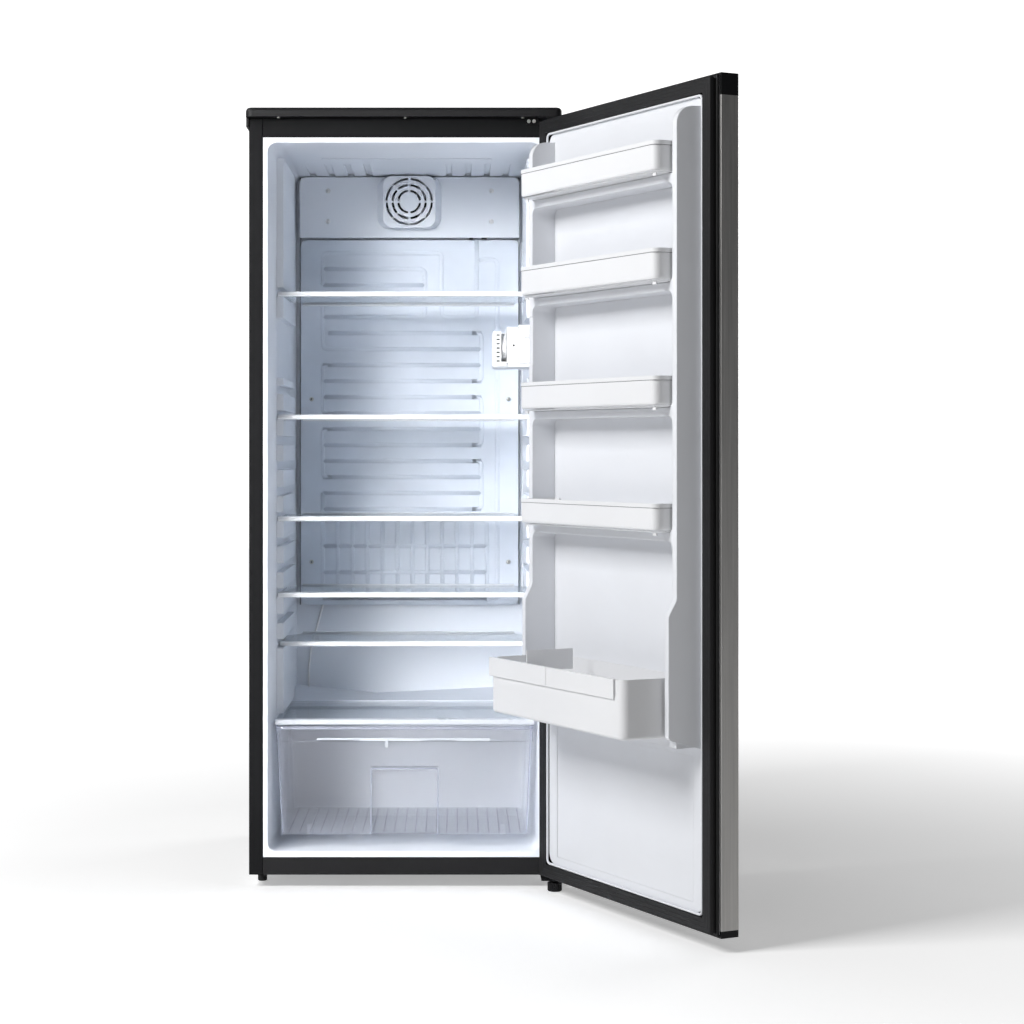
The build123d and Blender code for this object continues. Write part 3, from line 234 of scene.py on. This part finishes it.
POSTS = orange_peel("black_paint", (0.0042, 0.0044, 0.0052), 0.5, 0.11)
GALVANISED = metal("galvanised_steel", (0.62, 0.63, 0.64), 0.42, 0.7, 60)
STAINLESS = brushed("stainless_skin", (0.50, 0.49, 0.475), (1, 1, 0.02))
PLATE = metal("evaporator_paint", (0.71, 0.765, 0.85), 0.42, 0.0, 3)
STEEL = metal("zinc_steel", (0.6, 0.6, 0.58), 0.35)
COPPER = metal("copper_pipe", (0.75, 0.42, 0.28), 0.3)
ENAMEL = metal("black_enamel", (0.02, 0.02, 0.021), 0.35, 0.2)
GLASS = clear("shelf_glass", (0.64, 0.75, 0.86), 0.08, 0.46)
MOULDED_RIPPLE = 0.0004
CLEAR = clear("clear_plastic", (0.80, 0.84, 0.96), 0.07, 0.52, 0.08, MOULDED_RIPPLE)
CLEAR_EDGE = clear("clear_plastic_edge", (0.70, 0.74, 0.88), 0.30, 0.80, 0.08, MOULDED_RIPPLE)
OPAL = clear("opal_glass", (0.98, 0.97, 0.94), 0.75, 0.95, 0.3)
FOAM = foam("rigid_foam", (0.80, 0.72, 0.48))
# black print, such as the dial's index dot, and painted shade in the screws' recesses
BLACK_INK_AND_SHADE = moulded("black_ink", (0.01, 0.01, 0.01), 0.5, 900, 0.00001, 0, 0.05)
# painted shadow under the racks' rims
PAINTED_RIM_SHADOW = moulded("seam_shadow", (0.20, 0.20, 0.215), 0.7, 900, 0.00001, 0, 0.05)
# grey print on the dial, a dark joint, and painted shade beside the evaporator plate
GREY_INK_AND_SHADE = moulded("grey_ink", (0.30, 0.31, 0.33), 0.5, 900, 0.00001, 0, 0.05)

LOOK = {
    "side_panel_left": POSTS, "side_panel_right": POSTS, "top_rail": POSTS,
    "bottom_rail": BLACK, "back_panel": GALVANISED, "base_pan": GALVANISED,
    "compressor_bay": GALVANISED, "top_cover": BLACK, "inner_liner": LINER,
    "cabinet_foam": FOAM, "door_foam": FOAM, "evaporator_plate": PLATE,
    "fan_cover": LINER, "fan_motor": DARK_AND_SHADE, "fan_rotor": DARK_AND_SHADE, "capillary_tube": WHITE,
    "control_housing": UNIT, "lamp_cover": UNIT, "lamp_bulb": OPAL,
    "thermostat_body": DARK_AND_SHADE, "thermostat_dial": UNIT, "door_switch": UNIT,
    "compressor": ENAMEL, "drip_tray": DARK_AND_SHADE, "drain_hose": DARK_AND_SHADE,
    "refrigerant_pipes": COPPER, "power_inlet": DARK_AND_SHADE, "rear_feet": BLACK,
    "levelling_foot_left": BLACK, "levelling_foot_right": BLACK, "lower_hinge": POSTS,
    "upper_hinge": POSTS, "cabinet_screws": STEEL, "crisper_cover_glass": GLASS,
    "crisper_cover_trim": SHADED_CRISPER_TRIM, "crisper_drawer": CLEAR, "humidity_slider": SHADED_CRISPER_TRIM,
    "door_skin": STAINLESS, "door_liner": DOOR_LINER, "door_gasket": RUBBER,
    "door_top_cap": BLACK, "door_bottom_cap": BLACK, "hinge_bushings": DARK_AND_SHADE,
    "bottle_bin": WHITE, "bin_guard_inner": WHITE, "bin_guard_outer": WHITE,
}
for number in range(1, 6):
    LOOK[f"shelf_glass_{number}"] = GLASS
    LOOK[f"shelf_trim_{number}"] = TRIM
for number in range(1, 5):
    LOOK[f"door_rack_{number}"] = WHITE
for name, material in LOOK.items():
    for place in nodes[name].material_slots:
        place.material = material


# ------------------------------------------------------------------ piece makers
def finish_piece(obj, body, material, smooth=True):
    """Gives a piece its material, its body and, unless told not to, smooth shading."""
    obj.data.materials.clear()
    obj.data.materials.append(material)
    if obj.type == "MESH" and smooth:
        for face in obj.data.polygons:
            face.use_smooth = True
    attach(obj, body)
    return obj


def mesh_object(name, vertices, faces):
    """A new object in the scene from plain vertices and faces."""
    mesh = bpy.data.meshes.new(name)
    mesh.from_pydata([tuple(v) for v in vertices], [], faces)
    mesh.validate()
    mesh.update()
    obj = bpy.data.objects.new(name, mesh)
    scene.collection.objects.link(obj)
    return obj


def rounded_path(points, radius, steps=6, closed=False):
    """A polyline with its corners turned into short arcs."""
    points = [Vector(p) for p in points]
    count = len(points)
    out = []
    for i, corner in enumerate(points):
        if not closed and i in (0, count - 1):
            out.append(corner)
            continue
        before = points[i - 1]
        after = points[(i + 1) % count]
        d0, d1 = (before - corner), (after - corner)
        cut = min(radius, d0.length * 0.49, d1.length * 0.49)
        start = corner + d0.normalized() * cut
        end = corner + d1.normalized() * cut
        for k in range(steps + 1):
            t = k / steps
            out.append(start * (1 - t) ** 2 + corner * 2 * t * (1 - t) + end * t ** 2)
    return out


def tube_mesh(paths, radius, sides=10, flatten=None, closed=False):
    """Vertices and faces of round tubes along polylines; flatten scales them along an axis."""
    vertices, faces = [], []
    for path in paths:
        base = len(vertices)
        count = len(path)
        normal = None
        for i, p in enumerate(path):
            if closed:
                tangent = path[(i + 1) % count] - path[i - 1]
            else:
                tangent = path[min(i + 1, count - 1)] - path[max(i - 1, 0)]
            tangent.normalize()
            if normal is None:
                helper = Vector((0, 1, 0)) if abs(tangent.y) < 0.9 else Vector((1, 0, 0))
                normal = tangent.cross(helper).normalized()
            normal = (normal - tangent * normal.dot(tangent)).normalized()
            other = tangent.cross(normal)
            for k in range(sides):
                angle = 2 * math.pi * k / sides
                offset = (normal * math.cos(angle) + other * math.sin(angle)) * radius
                if flatten:
                    offset = Vector(o * f for o, f in zip(offset, flatten))
                vertices.append(p + offset)
        loops = count if closed else count - 1
        for i in range(loops):
            for k in range(sides):
                a = base + i * sides + k
                b = base + i * sides + (k + 1) % sides
                c = base + ((i + 1) % count) * sides + (k + 1) % sides
                d = base + ((i + 1) % count) * sides + k
                faces.append((a, b, c, d))
        if not closed:
            faces.append(tuple(base + k for k in reversed(range(sides))))
            faces.append(tuple(base + (count - 1) * sides + k for k in range(sides)))
    return vertices, faces


def tubes(name, paths, radius, body, material, sides=10, flatten=None, closed=False):
    """One piece made of tubes along the paths."""
    vertices, faces = tube_mesh(paths, radius, sides, flatten, closed)
    return finish_piece(mesh_object(name, vertices, faces), body, material)


def soft_block(name, low, high, body, material, bevel=0.001, place=None):
    """A moulded block with rounded edges; place maps its corners, such as onto the door."""
    xs, ys, zs = zip(low, high)
    corners = [(x, y, z) for x in xs for y in ys for z in zs]
    if place:
        corners = [place(*c) for c in corners]
    faces = [(0, 1, 3, 2), (4, 6, 7, 5), (0, 4, 5, 1), (2, 3, 7, 6), (0, 2, 6, 4), (1, 5, 7, 3)]
    obj = mesh_object(name, corners, faces)
    bpy.context.view_layer.objects.active = obj
    fix = obj.modifiers.new("edges", "BEVEL")
    fix.width = bevel
    fix.segments = EDGE_SEGMENTS
    fix.limit_method = "NONE"
    graph = bpy.context.evaluated_depsgraph_get()
    mesh = bpy.data.meshes.new_from_object(obj.evaluated_get(graph))
    obj.modifiers.clear()
    obj.data = mesh
    work = bmesh.new()
    work.from_mesh(mesh)
    bmesh.ops.recalc_face_normals(work, faces=work.faces)
    work.to_mesh(mesh)
    work.free()
    return finish_piece(obj, body, material)


def lathe(name, profile, centre, axis, body, material, steps=32):
    """A turned piece: profile is (distance along axis, radius) from one end to the other."""
    axis = Vector(axis).normalized()
    helper = Vector((1, 0, 0)) if abs(axis.x) < 0.9 else Vector((0, 0, 1))
    u = axis.cross(helper).normalized()
    v = axis.cross(u)
    centre = Vector(centre)
    vertices, faces = [], []
    for along, radius in profile:
        for k in range(steps):
            angle = 2 * math.pi * k / steps
            outwards = u * math.cos(angle) + v * math.sin(angle)
            vertices.append(centre + axis * along + outwards * radius)
    rows = len(profile)
    for i in range(rows - 1):
        for k in range(steps):
            a, b = i * steps + k, i * steps + (k + 1) % steps
            faces.append((a, b, b + steps, a + steps))
    faces.append(tuple(reversed(range(steps))))
    faces.append(tuple((rows - 1) * steps + k for k in range(steps)))
    return finish_piece(mesh_object(name, vertices, faces), body, material)


# ------------------------------------------------------------------ evaporator plate
low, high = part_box("evaporator_plate")
FACE_Y = low.y
LEFT_X, RIGHT_X, RISER_X = -0.186, 0.154, 0.188
ROW_TOP = 1.262
PITCH = 0.0343
ROWS = 17
CHANNEL_BEND = 0.012
CHANNEL_RADIUS = 0.0044
CHANNEL_FLAT = (1, 0.22, 1)
rows = [ROW_TOP - PITCH * i for i in range(ROWS)]


def channel(*points):
    """A raised refrigerant channel between points given as x, z."""
    return rounded_path([(x, FACE_Y, z) for x, z in points], CHANNEL_BEND)


channels = []
INNER_X, SECOND_X, FEED_X = 0.033, 0.069, 0.144
channels.append(channel((LEFT_X, rows[2]), (LEFT_X, rows[0]), (SECOND_X, rows[0]),
                        (SECOND_X, rows[4]), (FEED_X, rows[4]), (FEED_X, high.z + 0.002)))
channels.append(channel((LEFT_X, rows[1]), (INNER_X, rows[1]), (INNER_X, rows[4]),
                        (LEFT_X, rows[4])))
channels.append(channel((LEFT_X, rows[2]), (INNER_X, rows[2])))
channels.append(channel((INNER_X, rows[3]), (LEFT_X, rows[3]), (LEFT_X, rows[6]), (RIGHT_X, rows[6])))
for i, row in enumerate(rows):
    if i == 5:
        channels.append(channel((LEFT_X + CHANNEL_BEND, row), (RIGHT_X, row)))
    elif i > 6:
        channels.append(channel((LEFT_X, row), (RIGHT_X, row)))
RETURN = 0.02  # straight length at each end of a return bend
for first in (7, 11):
    channels.append(channel((LEFT_X + RETURN, rows[first]), (LEFT_X, rows[first]),
                            (LEFT_X, rows[first + 3]), (LEFT_X + RETURN, rows[first + 3])))
for first in (5, 9, 13):
    channels.append(channel((RIGHT_X - RETURN, rows[first]), (RIGHT_X, rows[first]),
                            (RIGHT_X, rows[first + 3]), (RIGHT_X - RETURN, rows[first + 3])))
GRID_TOP, GRID_BOTTOM = 0.690, 0.522
GRID_RIGHT = RIGHT_X + 0.012
RISER_TOP = 1.248
channels.append(channel((LEFT_X, rows[15]), (LEFT_X, GRID_BOTTOM), (GRID_RIGHT, GRID_BOTTOM)))
channels.append(channel((FEED_X + 0.004, RISER_TOP), (RISER_X, RISER_TOP),
                        (RISER_X, GRID_BOTTOM - 0.004), (GRID_RIGHT, GRID_BOTTOM - 0.004)))
COLUMNS, LINES = 11, 4
step_x = (GRID_RIGHT - LEFT_X) / COLUMNS
for i in range(1, COLUMNS + 1):
    x = LEFT_X + step_x * i
    channels.append(channel((x, GRID_TOP), (x, GRID_BOTTOM)))
for i in range(LINES):
    z = GRID_TOP - (GRID_TOP - GRID_BOTTOM) / (LINES - 1) * i
    channels.append(channel((LEFT_X, z), (GRID_RIGHT, z)))
tubes("evaporator_channels", channels, CHANNEL_RADIUS, "cabinet", PLATE,
      12, CHANNEL_FLAT)

# painted shade in the gap beside the plate: grey strips stand behind its edges
GAP_SHADE_TOP = 1.4275
for side, word in ((-1, "left"), (1, "right")):
    x = sorted((side * (high.x + 0.0004), side * (high.x + 0.0030)))
    soft_block(f"plate_edge_{word}", (x[0], FACE_Y + 0.0045, low.z),
               (x[1], FACE_Y + 0.010, GAP_SHADE_TOP), "cabinet", GREY_INK_AND_SHADE, 0.0006)

# ------------------------------------------------------------------ fan cover
cover_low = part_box("fan_cover")[0]
COVER_Y = 0.176  # the cover's flat face, behind the fan's box
DIMPLE = [(0, 0.0052), (0.0007, 0.0046), (0.0007, 0.0032), (0.0002, 0.0022)]
PLATE_SCREW = [(0, 0.0046), (0.0008, 0.0040), (0.0014, 0.0026), (0.0016, 0.0012)]
BACK_SCREW = [(0, 0.0048), (0.0010, 0.0044), (0.0018, 0.0030), (0.0020, 0.0014)]
for i, x in enumerate((-0.174, 0.1755)):
    for j, z in enumerate((1.394, 1.3285)):
        lathe(f"fan_cover_dimple_{i}{j}", DIMPLE, (x, COVER_Y + 0.0001, z), (0, -1, 0),
              "cabinet", WHITE, 24)
for i, (x, wide) in enumerate(((0.132, 0.0042), (0.160, 0.006))):
    soft_block(f"fan_cover_clip_{i}", (x - wide, COVER_Y + 0.004, cover_low.z - 0.004),
               (x + wide, COVER_Y + 0.010, cover_low.z + 0.002),
               "cabinet", DARK_AND_SHADE, 0.0015)
# screw heads, with their cross recess drawn as black bars of painted shade
for i, x in enumerate((-0.210, 0.212)):
    for j, z in enumerate((0.6, 0.949)):
        y = FACE_Y - 0.0026
        lathe(f"plate_screw_{i}{j}", PLATE_SCREW, (x, y, z), (0, -1, 0),
              "cabinet", STEEL, 20)
        for k, (w, h) in enumerate(((0.0022, 0.0005), (0.0005, 0.0022))):
            soft_block(f"plate_screw_{i}{j}_slot{k}", (x - w, y - 0.0018, z - h),
                       (x + w, y - 0.0013, z + h), "cabinet", BLACK_INK_AND_SHADE, 0.0001)

# ------------------------------------------------------------------ control unit
dial_low, dial_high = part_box("thermostat_dial")
dial_c = (dial_low + dial_high) / 2
dial_r = (dial_high.z - dial_low.z) / 2
FIGURES = 8
FIRST_ANGLE, FIGURE_STEP = -16, 48  # degrees round the dial
FIGURE_TALL, FIGURE_PROUD = 0.0085, 0.00012
for i in range(FIGURES):
    angle = math.radians(FIRST_ANGLE + FIGURE_STEP * (i - 1))
    curve = bpy.data.curves.new(f"dial_number_{i}", "FONT")
    curve.body = str(i)
    curve.size = FIGURE_TALL
    curve.extrude = FIGURE_PROUD
    curve.align_x = "CENTER"
    curve.align_y = "CENTER"
    obj = bpy.data.objects.new(f"dial_number_{i}", curve)
    scene.collection.objects.link(obj)
    turn = Matrix.Rotation(angle, 4, "X") @ Matrix.Rotation(math.pi / 2, 4, "X")
    spot = Matrix.Rotation(angle, 4, "X") @ Vector((0, -dial_r - 0.00005, 0))
    obj.matrix_world = Matrix.Translation(dial_c + spot) @ turn
    bpy.context.view_layer.update()
    graph = bpy.context.evaluated_depsgraph_get()
    mesh = bpy.data.meshes.new_from_object(obj.evaluated_get(graph))
    mesh.transform(obj.matrix_world)
    bpy.data.objects.remove(obj)
    number = bpy.data.objects.new(f"dial_figure_{i}", mesh)
    scene.collection.objects.link(number)
    finish_piece(number, "dial", GREY_INK_AND_SHADE, False)
INDEX = [(0, 0.0021), (0.0004, 0.0019)]  # the dot that the dial is read against
INDEX_X, INDEX_Y = 0.2125, -0.2489
lathe("dial_index", INDEX, (INDEX_X, INDEX_Y, dial_c.z + 0.003), (0, -1, 0),
      "cabinet", BLACK_INK_AND_SHADE, 24)
GRIP_RIBS = 30
ribs = []
for i in range(GRIP_RIBS):
    angle = 2 * math.pi * i / GRIP_RIBS
    y = dial_c.y + math.cos(angle) * (dial_r - 0.001)
    z = dial_c.z + math.sin(angle) * (dial_r - 0.001)
    ribs.append([Vector((dial_low.x + 0.0002, y, z)), Vector((dial_low.x + 0.0022, y, z))])
tubes("dial_grip", ribs, 0.0013, "dial", UNIT, 8)
soft_block("control_seam", (0.2214, -0.2521, 1.0105), (0.2222, -0.2488, 1.0800), "cabinet",
           GREY_INK_AND_SHADE, 0.0002)
soft_block("control_shelf_lip", (0.2, -0.2512, 1.0022), (0.2508, -0.2482, 1.0052), "cabinet",
           UNIT, 0.0008)

# painted shade: dark sheets just behind the vents stand for the shaded inside of the lamp compartment
vent_low, vent_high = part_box("lamp_cover")
shade_sheet_z = (vent_low.z + 0.004, vent_high.z - 0.004)
soft_block("vent_baffle_front", (vent_low.x + 0.0030, vent_low.y + 0.0030, shade_sheet_z[0]),
           (dial_low.x - 0.0030, vent_low.y + 0.0038, shade_sheet_z[1]),
           "cabinet", DARK_AND_SHADE, 0.0002)
soft_block("vent_baffle_side", (vent_low.x + 0.0026, vent_low.y + 0.0030, shade_sheet_z[0]),
           (vent_low.x + 0.0034, vent_high.y - 0.0040, shade_sheet_z[1]),
           "cabinet", DARK_AND_SHADE, 0.0002)

# ------------------------------------------------------------------ crisper
crisp_low, crisp_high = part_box("crisper_drawer")
DRAWER_FOOT = 0.241  # half width of the drawer at its bottom
PULL_HALF, PULL_TOP = 0.065, 0.2225
FLOOR_RIBS, RIB_PITCH = 11, 0.0205  # ribs on each side of the middle one
RIM_DROP = 0.026  # from the rim down to the line below it


def side_x(z):
    """Half width of the tapered drawer at height z."""
    t = (z - crisp_low.z) / (crisp_high.z - crisp_low.z)
    return DRAWER_FOOT + (crisp_high.x - DRAWER_FOOT) * t


rim_z = crisp_high.z - 0.004
rim_x, rim_front, rim_rear = crisp_high.x - 0.001, crisp_low.y + 0.001, crisp_high.y - 0.001
ring = rounded_path([(-rim_x, rim_front, rim_z), (rim_x, rim_front, rim_z),
                     (rim_x, rim_rear, rim_z), (-rim_x, rim_rear, rim_z)], 0.016, 8, True)
tubes("crisper_rim", [ring], 0.0020, "crisper", CLEAR_EDGE, 8, (0.5, 0.5, 1.6), True)
band = [p - Vector((0, 0, RIM_DROP)) for p in ring]
tubes("crisper_rim_line", [band], 0.0009, "crisper", CLEAR, 8, None, True)
ribs = []
for i in range(-FLOOR_RIBS, FLOOR_RIBS + 1):
    x, z = i * RIB_PITCH, crisp_low.z + 0.0030
    ribs.append([Vector((x, crisp_low.y + 0.028, z)), Vector((x, crisp_high.y - 0.022, z))])
tubes("crisper_floor_ribs", ribs, 0.0014, "crisper", CLEAR, 8)
front_y = crisp_low.y + 0.004
pull_y, foot_z = crisp_low.y + 0.0012, crisp_low.z + 0.002
pull = rounded_path([(-PULL_HALF, front_y, foot_z), (-PULL_HALF, pull_y, PULL_TOP),
                     (PULL_HALF, pull_y, PULL_TOP), (PULL_HALF, front_y, foot_z)], 0.006, 6)
tubes("crisper_pull_edge", [pull], 0.0012, "crisper", CLEAR_EDGE, 8)
for side, word in ((-1, "left"), (1, "right")):
    edge = []
    for k in range(8):
        z = crisp_low.z + 0.006 + (crisp_high.z - crisp_low.z - 0.012) * k / 7
        t = (z - crisp_low.z) / (crisp_high.z - crisp_low.z)
        edge.append(Vector((side * (side_x(z) - 0.0045), crisp_low.y + 0.006 * (1 - t) + 0.0046, z)))
    tubes(f"crisper_corner_{word}", [edge], 0.0014, "crisper", CLEAR_EDGE, 8)

# ------------------------------------------------------------------ shelves
EDGE_REAR = 0.014  # where the bright side edge of the glass ends
for number in range(1, 6):
    glass_low, glass_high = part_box(f"shelf_glass_{number}")
    trim_low, trim_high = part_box(f"shelf_trim_{number}")
    body = f"shelf_{number}"
    y, z = trim_low.y + 0.0004, trim_high.z - 0.0008 - 0.0042
    line = [Vector((trim_low.x + 0.001, y, z)), Vector((trim_high.x - 0.001, y, z))]
    tubes(f"shelf_front_bead_{number}", [line], 0.0007, body, TRIM, 8)
    # ground and polished edges of the glass
    for side, word in ((-1, "left"), (1, "right")):
        x = side * (glass_high.x - 0.0006)
        mid = (glass_low.z + glass_high.z) / 2
        edge = [Vector((x, trim_low.y + 0.016, mid)), Vector((x, EDGE_REAR, mid))]
        tubes(f"shelf_edge_{number}_{word}", [edge], 0.0018, body, TRIM,
              8, (0.5, 1, 1))

# ------------------------------------------------------------------ racks
RACK_A, RACK_N = (61.0, 535.0), (14.0, 92.0)
RACK_TAPER = 1.6
HOOK_A = (("hinge", 76.0), ("free", 520.0))
HOOK_HALF, HOOK_N, HOOK_DROP = 5.5, (81.0, 84.0), 5.0
RIM_FOOT = 7.3  # from a rack's top down to the shadow line under its rim
for number in range(1, 5):
    rack_low, rack_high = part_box(f"door_rack_{number}")
    body = f"rack_{number}"
    # painted shadow line under the thick rim
    z = rack_high.z / MM - RIM_FOOT
    a0, a1, n1 = RACK_A[0] + RACK_TAPER, RACK_A[1] - RACK_TAPER, RACK_N[1] + 0.1
    n0 = RACK_N[0] + 2
    corners = [on_door(a0 - RACK_TAPER, n0, z), on_door(a0, n1, z),
               on_door(a1, n1, z), on_door(a1 + RACK_TAPER, n0, z)]
    tubes(f"rack_seam_{number}", [rounded_path(corners, 0.013, 8)], 0.00055,
          body, PAINTED_RIM_SHADOW, 8)
    # hooks that stop the rack at the ends of its beam
    z = rack_low.z / MM
    for end, a in HOOK_A:
        soft_block(f"rack_hook_{number}_{end}", (a - HOOK_HALF, HOOK_N[0], z - HOOK_DROP),
                   (a + HOOK_HALF, HOOK_N[1], z + 0.6), body, WHITE, 0.0008, on_door)

# ------------------------------------------------------------------ rear
back_low, back_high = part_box("back_panel")
BACK_SCREWS = 6
SCREW_INSET = 0.012
BEAD_X, BEAD_RADIUS, BEAD_END = 0.17, 0.007, 0.07
for side, x in (("left", back_low.x + SCREW_INSET), ("right", back_high.x - SCREW_INSET)):
    for i in range(BACK_SCREWS):
        z = back_low.z + 0.02 + (back_high.z - back_low.z - 0.04) * i / (BACK_SCREWS - 1)
        lathe(f"back_screw_{side}_{i}", BACK_SCREW, (x, back_high.y - 0.0001, z), (0, 1, 0),
              "cabinet", STEEL, 20)
ribs = []
for x in (-BEAD_X, BEAD_X):
    ribs.append([Vector((x, back_high.y, back_low.z + BEAD_END)),
                 Vector((x, back_high.y, back_high.z - BEAD_END))])
tubes("back_beads", ribs, BEAD_RADIUS, "cabinet", GALVANISED, 16,
      CHANNEL_FLAT)

# ------------------------------------------------------------------ door gasket folds
gasket_low, gasket_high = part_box("door_gasket")
GASKET_EDGE = 3.0  # the gasket stands this far inside the door's own edges
DOOR_WIDE = 596.0
DOOR_LOW, DOOR_HIGH = gasket_low.z / MM - GASKET_EDGE, gasket_high.z / MM + GASKET_EDGE
# inset from the door's edges, height off its inner plane, radius
FOLDS = ((9.5, 17.1, 0.7), (16.0, 17.1, 0.7), (23.0, 17.1, 0.7),
         (8.4, 9.0, 1.1), (4.2, 5.6, 1.0), (29.4, 10.4, 1.0))


def door_loop(inset, n, bend, steps):
    """A line round the door, at an even distance from its edges."""
    left, right = inset, DOOR_WIDE - inset
    bottom, top = DOOR_LOW + inset, DOOR_HIGH - inset
    return rounded_path([on_door(left, n, bottom), on_door(right, n, bottom),
                         on_door(right, n, top), on_door(left, n, top)], bend, steps, True)


for i, (inset, n, r) in enumerate(FOLDS):
    tubes(f"gasket_fold_{i}", [door_loop(inset, n, 0.004, 4)], r * MM,
          "door", RUBBER, 8, None, True)

# the rounded bead of the liner beside the gasket
BEAD_INSET, BEAD_N, BEAD_ROUND = 34.4, 15.2, 2.2
tubes("liner_bead", [door_loop(BEAD_INSET, BEAD_N, 0.010, 6)], BEAD_ROUND * MM,
      "door", DOOR_LINER, 10, None, True)

# ------------------------------------------------------------------ floor, light, camera
FLOOR = 14  # half width of the floor
NEAR, FAR = 0.8, 4.5  # distances between which the floor's glow grows
NEAR_GLOW, FAR_GLOW = 0.3, 1.0
GIVEN_SHARE = 0.32  # of the glow that is seen, what it gives as light
floor_mesh = bpy.data.meshes.new("floor")
floor_corners = [(-FLOOR, -FLOOR, 0), (FLOOR, -FLOOR, 0), (FLOOR, FLOOR, 0), (-FLOOR, FLOOR, 0)]
floor_mesh.from_pydata(floor_corners, [], [(0, 1, 2, 3)])
floor = bpy.data.objects.new("floor", floor_mesh)
scene.collection.objects.link(floor)
floor_material, tree, shader = new_material("pale_floor")
mottle = ramp(tree, noise(tree, 2, 2), (0.90, 0.90, 0.90), (0.92, 0.92, 0.92))
tree.links.new(mottle, shader.inputs["Base Color"])
shader.inputs["Roughness"].default_value = 0.85
shader.inputs["Specular IOR Level"].default_value = 0.05
# a lit studio floor: it glows more the further it is from the object, and lights it little
coords = tree.nodes.new("ShaderNodeTexCoord")
reach = tree.nodes.new("ShaderNodeVectorMath")
reach.operation = "LENGTH"
tree.links.new(coords.outputs["Object"], reach.inputs[0])
glow = tree.nodes.new("ShaderNodeMapRange")
glow.inputs["From Min"].default_value = NEAR
glow.inputs["From Max"].default_value = FAR
glow.inputs["To Min"].default_value = NEAR_GLOW
glow.inputs["To Max"].default_value = FAR_GLOW
tree.links.new(reach.outputs["Value"], glow.inputs["Value"])
shader.inputs["Emission Color"].default_value = (1, 1, 1, 1)
seen = tree.nodes.new("ShaderNodeLightPath")
share = tree.nodes.new("ShaderNodeMapRange")
share.inputs["To Min"].default_value = GIVEN_SHARE
dimmed = tree.nodes.new("ShaderNodeMath")
dimmed.operation = "MULTIPLY"
tree.links.new(seen.outputs["Is Camera Ray"], share.inputs["Value"])
tree.links.new(glow.outputs["Result"], dimmed.inputs[0])
tree.links.new(share.outputs["Result"], dimmed.inputs[1])
tree.links.new(dimmed.outputs["Value"], shader.inputs["Emission Strength"])
floor_mesh.materials.append(floor_material)


def area(name, spot, target, wide, tall, power):
    """A rectangular studio light at spot, turned to target."""
    light = bpy.data.lights.new(name, "AREA")
    light.energy = power
    light.shape = "RECTANGLE"
    light.size = wide
    light.size_y = tall
    obj = bpy.data.objects.new(name, light)
    scene.collection.objects.link(obj)
    obj.location = spot
    obj.rotation_euler = (Vector(target) - Vector(spot)).to_track_quat("-Z", "Y").to_euler()
    obj.visible_camera = False
    return obj


# the light called inside reaches the cabinet and what is in it, but not the door
DOOR_BODIES = ("door", "rack_1", "rack_2", "rack_3", "rack_4", "bin", "guard_inner", "guard_outer")
door_nodes = {node for body in DOOR_BODIES for node in frame["record"]["behaviour"]["bodies"][body]}
cabinet_side = bpy.data.collections.new("cabinet_side")
for obj in list(scene.objects):
    on_the_door = obj.name in door_nodes or obj.get("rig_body") in DOOR_BODIES
    if obj.type == "MESH" and obj is not floor and not on_the_door:
        cabinet_side.objects.link(obj)

area("key", (-2.45, -2.1, 3.0), (0.35, -0.5, 0.8), 1.5, 1.6, 134)
inside = area("inside", (-1.55, -3.3, 1.50), (-0.18, -0.2, 0.70), 1.5, 1.8, 9.4)
inside.data.spread = math.radians(30)
inside.light_linking.receiver_collection = cabinet_side
area("back_left", (-2.2, 3.6, 2.0), (0, 0, 0.8), 2.0, 2.0, 45)
area("back_right", (3.2, 2.6, 1.8), (0, 0, 0.8), 2.0, 2.0, 45)

AMBIENT, BACKDROP = 0.06, 1.3  # strength as light, and as the camera sees it
world = bpy.data.worlds.new("studio")
scene.world = world
world.use_nodes = True
tree = world.node_tree
background = tree.nodes["Background"]
background.inputs["Color"].default_value = (0.95, 0.97, 1.0, 1)
background.inputs["Strength"].default_value = AMBIENT
plain = tree.nodes.new("ShaderNodeBackground")
plain.inputs["Color"].default_value = (1, 1, 1, 1)
plain.inputs["Strength"].default_value = BACKDROP
path = tree.nodes.new("ShaderNodeLightPath")
mix = tree.nodes.new("ShaderNodeMixShader")
output = tree.nodes["World Output"]
tree.links.new(path.outputs["Is Camera Ray"], mix.inputs["Fac"])
tree.links.new(background.outputs["Background"], mix.inputs[1])
tree.links.new(plain.outputs["Background"], mix.inputs[2])
tree.links.new(mix.outputs["Shader"], output.inputs["Surface"])
scene.view_settings.view_transform = "Standard"

camera_data = bpy.data.cameras.new("camera")
camera_data.sensor_width = 36
camera_data.lens = 77.47
camera_data.shift_x = 0.0522
camera_data.shift_y = -0.0631
camera = bpy.data.objects.new("camera", camera_data)
scene.collection.objects.link(camera)
camera.location = (0.105, -4.536, 0.8455)
camera.rotation_euler = (math.pi / 2, 0, 0)
scene.camera = camera
